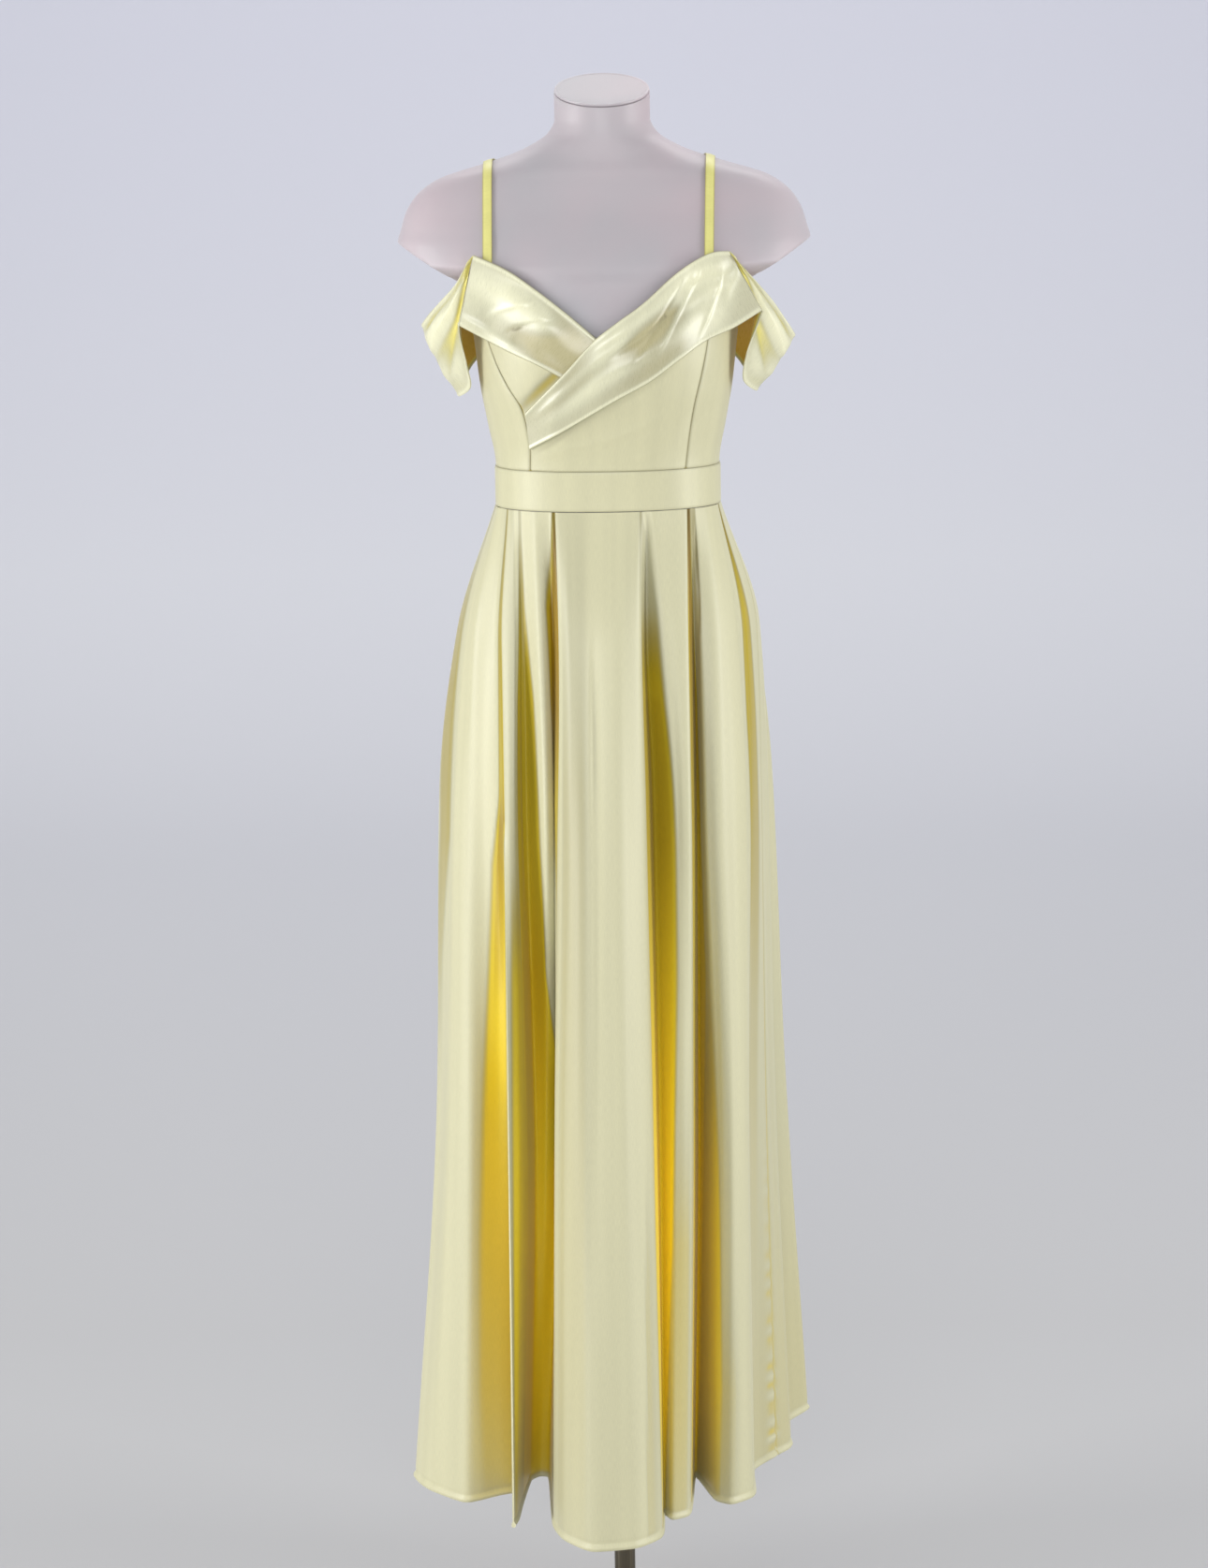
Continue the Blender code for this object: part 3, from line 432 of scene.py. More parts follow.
def cloth(name, outer, inner, look, fold_shade, inside=0.8, dim=0.0):
    """A closed thin sheet between two grids of points (mm), with a UV map in metres of cloth.

    U runs along the columns and V down the rows, each the mean length of the cloth so far. fold_shade is the
    painted shade of each outer point, up to 1, and below 0 a painted highlight on a crest, and dim the painted
    dimming, the share of its value taken off.
    The inner side is painted with the shade given as inside, less within about 3 mm of an edge, and no dimming.
    """
    rows, cols = outer.shape[:2]
    size = rows * cols
    at = np.arange(size).reshape(rows, cols)
    faces = [grid_faces(rows, cols), grid_faces(rows, cols, size, flip=True)]
    for line, turned in ((at[:, 0], False), (at[:, -1], True), (at[0], True), (at[-1], False)):
        rim = np.stack([line[:-1], line[:-1] + size, line[1:] + size, line[1:]], axis=-1)
        faces.append(rim[:, ::-1] if turned else rim)
    faces = np.concatenate(faces)
    across = np.cross(outer[1:, :-1] - outer[:-1, :-1], outer[:-1, 1:] - outer[:-1, :-1])
    if np.sum(across * (outer - inner)[:-1, :-1]) < 0:
        faces = faces[:, ::-1]
    made = plain_mesh(name, np.concatenate([outer.reshape(-1, 3), inner.reshape(-1, 3)]) / 1000, faces, look)
    made.data.set_sharp_from_angle(angle=math.radians(55))
    u, v = walked(outer, 1).mean(axis=0), walked(outer, 0).mean(axis=1)
    spread = np.stack(np.meshgrid(u, v), axis=-1) / 1000
    both = np.concatenate([spread, spread]).reshape(-1, 2)
    corners = both[faces.ravel()].astype(np.float32)
    made.data.uv_layers.new(name="cloth").data.foreach_set("uv", corners.ravel())
    # the inner side is painted with shade, less near the edges
    rim = np.minimum.reduce(from_edges(inner))
    within = inside * (1 - bell(rim, 3))
    for label, sides in (("painted_fold_shade", (fold_shade, within)), ("painted_fold_dimming", (dim + 0 * fold_shade, 0 * fold_shade))):
        values = np.concatenate(sides).astype(np.float32).ravel()
        made.data.attributes.new(label, "FLOAT", "POINT").data.foreach_set("value", values)
    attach(made, "root")
    return made


def angle_at(x, z, out=0.0):
    """The angle from the front at which a layer out mm from the form reaches x at height z."""
    a, _, _, n = section(z)
    foot = np.asarray(x, float)
    for _ in range(6):
        t = np.degrees(np.arcsin(np.clip(np.abs(foot) / a, 0, 0.9999) ** (n / 2))) * np.sign(x)
        foot = x - (body_point(t, z, out) - body_point(t, z, 0))[..., 0]
    return t


def seam(table, shift=0.0):
    """The angle of a seam given by its heights and x, moved sideways by shift mm."""
    rows = np.array(table, float)
    return lambda z: angle_at(curve_through(rows[:, 0], rows[:, 1], z) + shift, z, BODICE_WALL[1])


def level(value):
    """The same value all the way."""
    return lambda at: np.full_like(np.asarray(at, float), value)


def edge(*values):
    """A smooth edge whose height at even steps across the panel is given."""
    return lambda at: curve_through(np.linspace(0, 1, len(values)), values, at)


def packed(count, share):
    """Count steps from 0 to 1, a share of the way from even to drawn close at both ends."""
    even = np.linspace(0, 1, count + 1)
    return (1 - share) * even + share * (0.5 - 0.5 * np.cos(np.pi * even))


def fitted(name, first, last, bottom, top, wall, cols, rows, pulls=()):
    """A panel on the form between two seams and two edges, its wall's two faces given in mm off the form.

    The side seams sink by 0.6 exp(-(d/1.5)^2) mm at d mm from them and the other edges by
    0.5 exp(-(d/1.2)^2), and each pull is a soft ridge across the panel. The sunk seams and the troughs are
    painted with shade.
    """
    low, high = wall
    across, up = packed(cols, 0.6), packed(rows, 0.3)[:, None]
    z = bottom(across) + up * (top(across) - bottom(across))
    turn = first(z) + across * (last(z) - first(z))
    smooth_panel = body_point(turn, z, high)
    side, below, above = from_edges(smooth_panel)
    sink = 0.6 * bell(side, 1.5) + 0.5 * bell(above, 1.2) + 0.5 * bell(below, 1.2)
    x, lift = smooth_panel[..., 0], np.zeros_like(z)
    for x0, z0, x1, z1, width, height in pulls:
        span = math.hypot(x1 - x0, z1 - z0)
        t = ((x - x0) * (x1 - x0) + (z - z0) * (z1 - z0)) / span ** 2
        off = ((x - x0) * (z1 - z0) - (z - z0) * (x1 - x0)) / span
        lift += height * bell(off, width) * np.exp(-((t - 0.5) / 0.42) ** 4)
    outer, inner = body_point(turn, z, high - sink + lift), body_point(turn, z, low)
    # painted shade along the sunk seams and in the troughs, with as much painted dimming
    fold_shade = np.clip(sink / 2.2 + np.clip(-lift / 2.2, 0, 0.5), 0, 0.55)[::-1]
    return cloth(name, outer[::-1], inner[::-1], satin, fold_shade, dim=0.7 * fold_shade)


satin = satin_look("satin_dull_side", 0.42)
# the waistband's edges and the gaps between pieces at straight and at curved seams; the bodice's wall off the
# form; all in mm
BAND_BOTTOM, BAND_TOP, SEAM_GAP, CURVED_GAP = 1228.5, 1268.5, 0.2, 0.4
BODICE_WALL = (2.4, 3.6)
half, low_edge = CURVED_GAP / 2, level(BAND_TOP + SEAM_GAP)
# pulls and troughs, the troughs also painted with shade: from x, z to x, z, width, height in mm
PULLS = {
    "centre_front": [(-60, 1296, 62, 1366, 6, 0.9), (-20, 1290, 70, 1330, 4, 0.6),
                     (-70, 1283, 10, 1305, 4, 0.5), (20, 1278, 74, 1296, 3.5, 0.4),
                     (-74, 1286, 66, 1372, 4, -0.8)],
    "cup_right": [(6, 1424, -96, 1322, 6, -1.1), (-100, 1392, -50, 1372, 9, 0.5)],
    "side_front_left": [(84, 1300, 104, 1396, 8, 0.5)],
    "side_front_right": [(-112, 1392, -88, 1300, 8, 0.5)],
    "back_right": [(-96, 1300, -20, 1330, 8, 0.6), (-100, 1372, -40, 1352, 7, 0.5),
                   (-40, 1290, -8, 1372, 6, -0.4)],
    "back_left": [(96, 1304, 24, 1338, 8, 0.6), (92, 1380, 30, 1360, 7, 0.5), (36, 1286, 10, 1366, 6, -0.4)]}
# first and last seam, lower and upper edge, columns and rows
bodice = {
    "side_front_right": (level(-89.9), seam(RIGHT_PRINCESS, -half), low_edge,
                         edge(1402, 1408, 1420, 1434, 1444), 34, 72),
    "side_front_left": (seam(LEFT_PRINCESS, half), level(89.9), low_edge,
                        edge(1444, 1434, 1421, 1409, 1402), 34, 72),
    "centre_front": (seam(RIGHT_PRINCESS, half), seam(LEFT_PRINCESS, -half), low_edge,
                     edge(1306, 1335, 1357, 1381, 1408), 80, 64),
    "cup_right": (seam(RIGHT_PRINCESS, half), seam(HIDDEN_EDGE), level(1316),
                  edge(1446, 1440, 1427, 1410, 1392), 44, 60),
    "back_right": (level(-179.88), level(-90.1), low_edge, edge(1404, 1409, 1412, 1408, 1402), 64, 56),
    "back_left": (level(90.1), level(179.88), low_edge, edge(1402, 1408, 1412, 1409, 1404), 64, 56)}
for label, (first, last, bottom, top, cols, rows) in bodice.items():
    panel = fitted("satin_" + label, first, last, bottom, top, BODICE_WALL, cols, rows, PULLS[label])
    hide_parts("bodice_" + label)

# Crossed neckline.
# Two folded bands of the same satin, bright side out. The right one lies flat under the left one, which wraps
# across the bust to the right princess seam. Each is held at its ends, so the folds fan out from the tips.
# stations: upper x, y, z, then lower x, y, z; no y means it lies on the body
WRAP_STATIONS = [
    (122, -81, 1485, 155, -74, 1425), (107, None, 1484, 127, -80, 1409), (90, None, 1477, 100, None, 1398),
    (67, None, 1462, 72, None, 1380), (37, None, 1436, 42, None, 1359), (12, None, 1419, 8, None, 1341),
    (-12, None, 1401, -23, None, 1323), (-46, None, 1365, -51, None, 1306), (-81, None, 1329, -77, None, 1291)]
BAND_STATIONS = [
    (12, None, 1387, -20, None, 1349), (-9, None, 1403, -44, None, 1364), (-40, None, 1429, -70, None, 1378),
    (-70, None, 1452, -95, None, 1389), (-98, None, 1471, -119, -80, 1401), (-129, -81, 1485, -145, -76, 1415)]
# folds: start along, start across, end along, end across, width across, height in mm (along, 0 is the
# first station; across, 0 is the upper edge and 1 the lower one)
WRAP_FOLDS = [(0.02, 0.17, 0.84, 0.13, 0.11, 2.4), (0.08, 0.68, 0.99, 0.62, 0.14, 2.4),
              (0.26, 0.41, 0.72, 0.37, 0.05, -1.3), (0.04, 0.44, 0.42, 0.43, 0.07, 1.4),
              (0.52, 0.34, 0.99, 0.3, 0.09, 1.2), (-0.02, 0.25, 0.15, 0.62, 0.09, 1.4),
              (0.2, 0.02, 0.48, 0.78, 0.05, 1.5), (0.28, 0.05, 0.58, 0.66, 0.045, -1.2),
              (0.08, 0.2, 0.3, 0.95, 0.05, 1.3)]
BAND_FOLDS = [(0.3, 0.34, 1.06, 0.3, 0.17, 3.0), (0.02, 0.74, 0.8, 0.66, 0.16, -1.2),
              (0.45, 0.9, 1.08, 0.88, 0.06, 1.4), (0.52, 0.08, 0.86, 0.72, 0.05, 1.0),
              (0.4, 0.2, 0.7, 0.8, 0.045, -0.9)]
# where the satin gets a painted highlight (below 0) or painted shade: along, across, reach along and across,
# painted shade
WRAP_PAINTED_LIGHT = [(0.3, 0.24, 0.12, 0.22, -0.45), (0.24, 0.74, 0.08, 0.24, -0.35), (0.12, 0.35, 0.07, 0.3, -0.3),
              (0.46, 0.55, 0.17, 0.34, 0.46), (0.8, 0.34, 0.12, 0.3, 0.14), (0.64, 0.26, 0.09, 0.22, -0.25)]
BAND_PAINTED_LIGHT = [(0.68, 0.36, 0.2, 0.26, -0.38), (0.18, 0.6, 0.32, 0.5, 0.52), (0.97, 0.6, 0.1, 0.4, -0.15)]
# how far each station lies off the form, in mm
WRAP_OFF, BAND_OFF = [5.2, 6.2, 6.4, 5.2, 5.2, 7.0, 8.0, 7.8, 4.8], [4.4, 4.4, 4.4, 4.6, 5.0, 5.0]
BAND_WALL = 1.5
# the bright face's pale colour, paler than the dull side's, partly its own and partly a painted sheen
BRIGHT_PALE = (0.68, 0.665, 0.46, 1)


def through(points, steps):
    """A curve through rows of points, steps[i] pieces from row i to the next, with even flow at each row.

    Cubic pieces over knots spaced by the root of the distance, each slope the blend of its two neighbours.
    """
    p = np.asarray(points, float)
    ones = [1] * (p.ndim - 1)
    gaps = np.linalg.norm(np.diff(p, axis=0).reshape(len(p) - 1, -1), axis=1)
    wide = np.maximum(gaps, 1e-6).reshape(-1, *ones) ** 0.5
    rise = np.diff(p, axis=0) / wide
    slope = np.empty_like(p)
    slope[0], slope[-1] = rise[0], rise[-1]
    slope[1:-1] = (rise[:-1] * wide[:-1] + rise[1:] * wide[1:]) / (wide[:-1] + wide[1:])
    k = np.repeat(np.arange(len(steps)), steps)
    u = np.concatenate([np.arange(n) / n for n in steps]).reshape(-1, *ones)
    return np.concatenate([cubic(u, wide[k], p[k], p[k + 1], slope[k], slope[k + 1]), p[-1:]])


def unit(vectors):
    """The vectors brought to length one."""
    return vectors / np.linalg.norm(vectors, axis=-1, keepdims=True)


def normals(grid, away):
    """The unit normals of a grid, all on the side that faces away from the point given."""
    normal = unit(np.cross(np.gradient(grid, axis=1), np.gradient(grid, axis=0)))
    return normal * np.sign(np.sum(normal * (grid - away), axis=-1).mean())


def smooth(share):
    """A share from 0 to 1 that starts and ends softly: 3 t^2 - 2 t^3, with t kept between 0 and 1."""
    t = np.clip(share, 0, 1)
    return t * t * (3 - 2 * t)


def soft_folds(u, v, folds, power=2.0):
    """The sum of ridges: height exp(-|(v - centre(u)) / width|^power), each faded in and out at its ends."""
    lift = np.zeros(np.broadcast(u, v).shape)
    for u0, v0, u1, v1, width, height in folds:
        t = (u - u0) / (u1 - u0)
        fade = smooth(np.clip(t / 0.3, 0, 1) * np.clip((1 - t) / 0.3, 0, 1))
        lift += height * fade * np.exp(-np.abs((v - v0 - (v1 - v0) * t) / width) ** power)
    return lift


def across_bodice(name, stations, off, folds, painted_light, cols, rows):
    """A folded band of cloth across the bodice through its stations, its edges rolled and folds laid on,
    painted with shade in its troughs and with highlights on its ridges and rolled edges.
    """
    down = np.linspace(0, 1, rows + 1)
    lines = []
    for (ux, uy, uz, lx, ly, lz), out in zip(stations, off):
        x, z = ux + (lx - ux) * down, uz + (lz - uz) * down
        on = body_point(angle_at(x, z, out), z, out)
        if uy is not None or ly is not None:
            y0, y1 = (uy if uy is not None else on[0][1]), (ly if ly is not None else on[-1][1])
            y = y0 + (y1 - y0) * down
            on[:, 1] = y if ly is not None and uy is not None else np.minimum(y, on[:, 1])
        on[:, 0] = x
        lines.append(on)
    inner = np.swapaxes(through(lines, [cols // (len(lines) - 1)] * (len(lines) - 1)), 0, 1)
    normal = normals(inner, np.array([0.0, 60.0, 1400.0]))
    u, v = np.linspace(0, 1, inner.shape[1])[None, :], down[:, None]
    lift = soft_folds(u, v, folds)
    roll = sum(bell(gap - 2.2, 1.8) - 1.2 * bell(gap, 0.8) for gap in from_edges(inner)[1:])
    outer = inner + normal * (BAND_WALL + np.maximum(lift, -1.2) + 0.6 * roll)[..., None]
    under = inner + normal * (0.3 + np.clip(lift, 0, None) * 0.75)[..., None]
    # painted shade in the troughs, painted highlights on the ridges and the rolled edges, and the listed
    # painted highlights and shade
    fold_shade = 0.30 - 0.14 * lift - 0.5 * roll
    for u0, v0, along, across, value in painted_light:
        fold_shade = fold_shade + value * bell(u - u0, along) * bell(v - v0, across)
    return cloth(name, outer, under, bright, np.clip(fold_shade, -0.5, 0.58), inside=0.5)


# the bright face: its pale colour, then its painted shade colours for the folds
bright = satin_look("satin_bright_side", 0.30, BRIGHT_PALE, (0.55, 0.49, 0.25, 1), (0.72, 0.46, 0.06, 1),
                    stretch=0.5, gloss=0.8)
band = across_bodice("neckline_band", BAND_STATIONS, BAND_OFF, BAND_FOLDS, BAND_PAINTED_LIGHT, 130, 54)
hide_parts("neckline_band_right")
wrap = across_bodice("wrap", WRAP_STATIONS, WRAP_OFF, WRAP_FOLDS, WRAP_PAINTED_LIGHT, 192, 60)
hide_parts("wrap_front")

# Sleeve drapes.
# Folded loops of bright satin that hang off the shoulders from the neckline's tips to the top of the back.
# stations from front to back: four points from the top edge to the lower edge, each x, y, z
RIGHT_DRAPE = [
    [(-129.8, -81.2, 1484), (-136.1, -77.5, 1462), (-141.9, -75.3, 1438), (-146.9, -74.6, 1415)],
    [(-138, -82, 1474), (-141, -73, 1455), (-144, -60, 1428), (-146, -65, 1401)],
    [(-150, -61, 1454), (-153, -52, 1434), (-151, -50, 1405), (-140, -53, 1373)],
    [(-169, -32, 1433), (-172, -27, 1412), (-160, -30, 1380), (-137, -42, 1351)],
    [(-186, 0, 1412), (-180, -2, 1396), (-167, -6, 1368), (-149, -18, 1340)],
    [(-173, 34, 1427), (-171, 34, 1405), (-160, 32, 1374), (-148, 20, 1344)],
    [(-153, 58, 1438), (-153, 58, 1418), (-148, 55, 1390), (-140, 46, 1362)],
    [(-130, 72, 1428), (-132, 71, 1412), (-131, 67, 1394), (-129, 60, 1374)],
    [(-110, 73.5, 1412), (-112, 71.5, 1402), (-114, 69.5, 1391), (-116, 66.5, 1380)]]
LEFT_DRAPE = [
    [(123.0, -81.4, 1484), (135.4, -76.8, 1464), (146.8, -74.2, 1444), (157.1, -73.0, 1424.6)],
    [(131, -83, 1476), (141.5, -72, 1457), (148, -60, 1434), (152, -64, 1410)],
    [(152, -59, 1452), (155, -48, 1434), (152, -50, 1408), (141, -56, 1380)],
    [(170, -30, 1430), (174, -25, 1406), (162, -30, 1376), (138, -44, 1354)],
    [(192, 0, 1396), (184, -2, 1384), (171, -8, 1364), (151, -20, 1341)],
    [(178, 34, 1416), (174, 34, 1396), (162, 32, 1370), (149, 20, 1344)],
    [(155, 58, 1432), (155, 58, 1414), (149, 55, 1388), (140, 46, 1362)],
    [(130, 72, 1426), (132, 71, 1411), (131, 67, 1393), (129, 60, 1374)],
    [(110, 73.5, 1412), (112, 71.5, 1402), (114, 69.5, 1391), (116, 66.5, 1380)]]
# sharp turns and soft folds: start along, start across, end along, end across, width across, height in mm
DRAPE_CREASES = [(0.01, 0.26, 0.6, 0.52, 0.1, 2.8), (0.03, 0.5, 0.56, 0.86, 0.09, -2.2),
                 (0.03, 0.1, 0.6, 0.2, 0.07, -1.8), (0.45, 0.6, 0.98, 0.45, 0.1, 1.6)]
DRAPE_FOLDS = [(0.06, 0.4, 0.62, 0.3, 0.11, 2.0), (0.2, 0.8, 0.74, 0.72, 0.09, 1.8),
               (0.4, 0.16, 0.94, 0.26, 0.1, 1.6), (0.12, 0.6, 0.6, 0.52, 0.06, -1.2),
               (0.04, 0.14, 0.4, 0.1, 0.06, 1.2)]
# in mm
DRAPE_WALL = 1.4


def drape(name, stations):
    """A sleeve drape through its stations, the wall on the inside and the folds on the outside, with painted
    shade in its troughs, by the neckline's tip and on its inner side, and painted highlights on its crests and
    rolled edges.
    """
    lines = [through(line, [16, 16, 16]) for line in stations]
    grid = np.swapaxes(through(lines, [14, 18, 18, 22, 22, 18, 16, 14]), 0, 1)
    arm = math.copysign(120.0, stations[4][0][0])
    normal = normals(grid, np.array([arm, 0.0, 1410.0]))
    u, v = np.linspace(0, 1, grid.shape[1])[None, :], np.linspace(0, 1, grid.shape[0])[:, None]
    lift = soft_folds(u, v, DRAPE_FOLDS) + soft_folds(u, v, DRAPE_CREASES, 1.2)
    roll = sum(0.8 * bell(gap - 2.0, 1.6) for gap in from_edges(grid)[1:])
    outer = grid + normal * (lift + roll - 0.3)[..., None]
    under = grid - normal * (DRAPE_WALL - np.clip(lift, None, 0) - 0.7 * np.clip(lift, 0, None))[..., None]
    # painted shade in the troughs and next to the neckline's tip, fading down the drape, and painted highlights
    # on the crests and rolled edges
    fold_shade = 0.20 - 0.2 * lift - 0.5 * roll + 0.7 * bell(u, 0.16) * (1 - 0.5 * v)
    return cloth(name, outer, under, draped, np.clip(fold_shade, -0.45, 0.75), inside=1.0)


# the drape's pale colour, then its painted shade colours
draped = satin_look("satin_draped", 0.30, BRIGHT_PALE, (0.76, 0.67, 0.17, 1), (0.74, 0.48, 0.07, 1),
                    stretch=0.5, gloss=0.8)
for side, stations, tied in (("right", RIGHT_DRAPE, band), ("left", LEFT_DRAPE, wrap)):
    piece = drape("drape_" + side, stations)
    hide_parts("sleeve_drape_" + side)

# Straps.
# Narrow folded ribbons in a stronger yellow, from the neckline's tips over the shoulders to the back's top.
# heights of the two ends, half the width, and the wall, in mm
STRAP_FRONT, STRAP_BACK, STRAP_HALF, STRAP_WALL = 1470, 1414, 4.6, 1.4


def strap(name, x_front, x_top, x_back):
    """A ribbon laid over the form, slightly domed, its two edges turned under.

    Each line along it follows the form's surface at its own x, up from the front to the shoulder and down.
    """
    heights = np.linspace(1500, 1610, 881)
    clear = np.interp(np.arange(19), [0, 3, 9, 15, 18], [2.0, 1.1, 0.95, 1.1, 2.0])[:, None]
    rise = np.sin(np.radians(10 * np.arange(9)))
    lines = []
    for side in (-STRAP_HALF, 0, STRAP_HALF):
        peak = float(heights[np.argmax(section(heights)[0] < abs(x_top + side))])
        ends = []
        for x_end, z_end in ((x_front, STRAP_FRONT), (x_back, STRAP_BACK)):
            x, z = x_end + (x_top - x_end) * np.arange(9) / 9 + side, z_end + (peak - z_end) * rise
            angle = angle_at(x, z) if not ends else 180 - angle_at(x, z)
            ends.append(np.stack([x, body_point(angle, z, 0)[:, 1], z], axis=-1))
        path = np.concatenate([ends[0], [[x_top + side, 0.0, peak]], ends[1][::-1]])
        flow = np.gradient(path, axis=0)
        normal = unit(np.stack([0 * flow[:, 0], -flow[:, 2], flow[:, 1]], axis=-1))
        lines.append((path + normal * clear, normal))
    under, over = (np.swapaxes(through(np.swapaxes(through(part, [6, 6]), 0, 1), [7] * 18), 0, 1)
                   for part in zip(*lines))
    over = unit(over)
    share = np.linspace(-1, 1, 13)[:, None]
    dome = STRAP_WALL * (0.72 + 0.28 * (1 - share ** 2)) - 0.45 * bell(np.abs(share) - 0.72, 0.07)
    # painted shade toward the turned-under edges
    fold_shade = 0.1 + 0.4 * share ** 8 + 0 * over[..., 0]
    return cloth(name, under + over * dome[..., None], under + 0.1 * over, ribbon, fold_shade, 0.4)


# the ribbon's own stronger yellow, then its painted shade colour
ribbon = satin_look("strap_ribbon", 0.38, (0.74, 0.70, 0.24, 1), (0.60, 0.45, 0.05, 1), sheen=0.2)
for side, x_front, x_top, x_back, tied in (("right", -116, -115, -92, band), ("left", 103, 108, 90, wrap)):
    piece = strap("strap_ribbon_" + side, x_front, x_top, x_back)
    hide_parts("strap_" + side)

# Waistband.
# A plain band of doubled satin in three cut pieces, sewn between bodice and skirt, smooth and thicker.
# piece, first and last angle, flat width, columns
for label, first, last, width, cols in (("front", -89.9, 89.9, 0.337, 120),
                                        ("back_right", -179.88, -90.1, 0.17, 64),
                                        ("back_left", 90.1, 179.88, 0.17, 64)):
    piece = fitted("band_" + label, level(first), level(last), level(BAND_BOTTOM), level(BAND_TOP),
                   (2.6, 4.7), cols, 22)
    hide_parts("waistband_" + label)

# Skirt.
# Four cut panels, pleated into the waistband in front and gathered in soft folds behind, with a slit from mid
# thigh on the wearer's right. Its hem and the slit's edges are narrow rolled hems.
SKIRT_TOP, SLIT_TOP, HEM = 1227.9, 916.0, 180.0
# folds from the slit round behind to the slit's front edge: degrees round the waist, lift off the waist, then
# x, y at heights 1100, 930, 600 and at the hem, hem height
FOLDS_SLIT_SIDE = [
    (-66, 3.9, (-116, -72), (-117, -88), (-124, -60), (-129, -34), 182),
    (-76, 5.4, (-137, -60), (-146, -68), (-152, -72), (-166, -51), 180),
    (-82, 4.6, (-146, -46), (-162, -48), (-175, -44), (-203, -14), 180),
    (-88, 3.9, (-153, -28), (-171, -20), (-183, -10), (-217, 8), 181),
    (-94, 5.4, (-157, 8), (-180, 22), (-189, 26), (-223, 33), 182)]
FOLDS_FRONT = [
    (128, 5.2, (146, 62), (168, 105), (181, 150), (206, 192), 195),
    (108, 4.0, (151, 40), (160, 78), (166, 118), (177, 148), 190),
    (98, 5.0, (154, 22), (162, 48), (168, 82), (183, 98), 184),
    (90, 4.6, (150, -4), (154, 14), (157, 40), (166, 74), 182),
    (80, 3.9, (140, -40), (144, -46), (137, -22), (139, 32), 181),
    (70, 5.2, (127, -70), (135, -79), (134, -72), (137, -45), 180),
    (58, 5.4, (109, -90), (113, -104), (117, -94), (113, -69), 180),
    (49, 4.4, (91, -94), (94, -106), (101, -84), (96, -56), 180),
    (45.5, 3.6, (84, -83), (85, -85), (84, -30), (76, 8), 184),
    (42, 5.0, (77, -106), (77, -122), (75, -110), (68, -98), 180),
    (21, 5.4, (51, -111), (60, -122), (57, -118), (50, -112), 180),
    (17.5, 3.6, (36, -97), (41, -98), (42, -95), (41, -98), 181),
    (14, 5.2, (29, -121), (30, -140), (33, -152), (38, -162), 180),
    (5, 5.4, (10, -131), (10, -154), (10, -174), (12, -192), 180),
    (-8, 5.4, (-20, -135), (-22, -161), (-27, -181), (-34, -200), 180),
    (-20, 5.4, (-42, -130), (-44, -152), (-54, -162), (-62, -166), 180),
    (-26.5, 5.0, (-52, -119), (-55, -135), (-65, -134), (-73, -128), 180),
    (-30, 3.8, (-57, -96), (-61, -105), (-63, -40), (-79, 10), 184),
    (-39, 5.0, (-71, -104), (-68, -119), (-74, -52), (-89, 16), 184),
    (-49, 3.8, (-86, -87), (-87, -94), (-86, -44), (-99, 2), 184),
    (-53, 4.4, (-92, -90), (-94, -106), (-94, -84), (-107, -62), 181),
    (-56, 5.0, (-97, -92), (-99, -117), (-101, -111), (-111, -110), 180),
    (-61.5, 5.0, (-110, -85), (-110, -112), (-112, -120), (-115, -127), 180)]
# back ridges from the right side seam to the back left corner: x, y at the hem
BACK_RIDGES = [(-217, 116), (-168, 184), (-98, 222), (-20, 238), (62, 240), (138, 226)]
# at heights 1100, 930, 600 and at the hem: a ridge's x and y as shares of those at the hem, and a dip's as
# shares of a ridge's
BACK_SCALE, BACK_DIP = [(0.70, 0.49), (0.805, 0.63), (0.845, 0.76), (1.0, 1.0)], [0.965, 0.925, 0.87, 0.84]
# a ridge's width as a share of the way between its neighbours; how far apart the slit's edges lie at the
# hem, x, y in mm
RIDGE_WIDTH, SLIT_OPENING = 0.17, (4.0, 103.0)
# the five levels of a fold line and the slit's top, as shares down the skirt
LEVELS = [(SKIRT_TOP - z) / (SKIRT_TOP - HEM) for z in (SKIRT_TOP, 1100, 930, 600, HEM)]
SLIT_START = (SKIRT_TOP - SLIT_TOP) / (SKIRT_TOP - HEM)
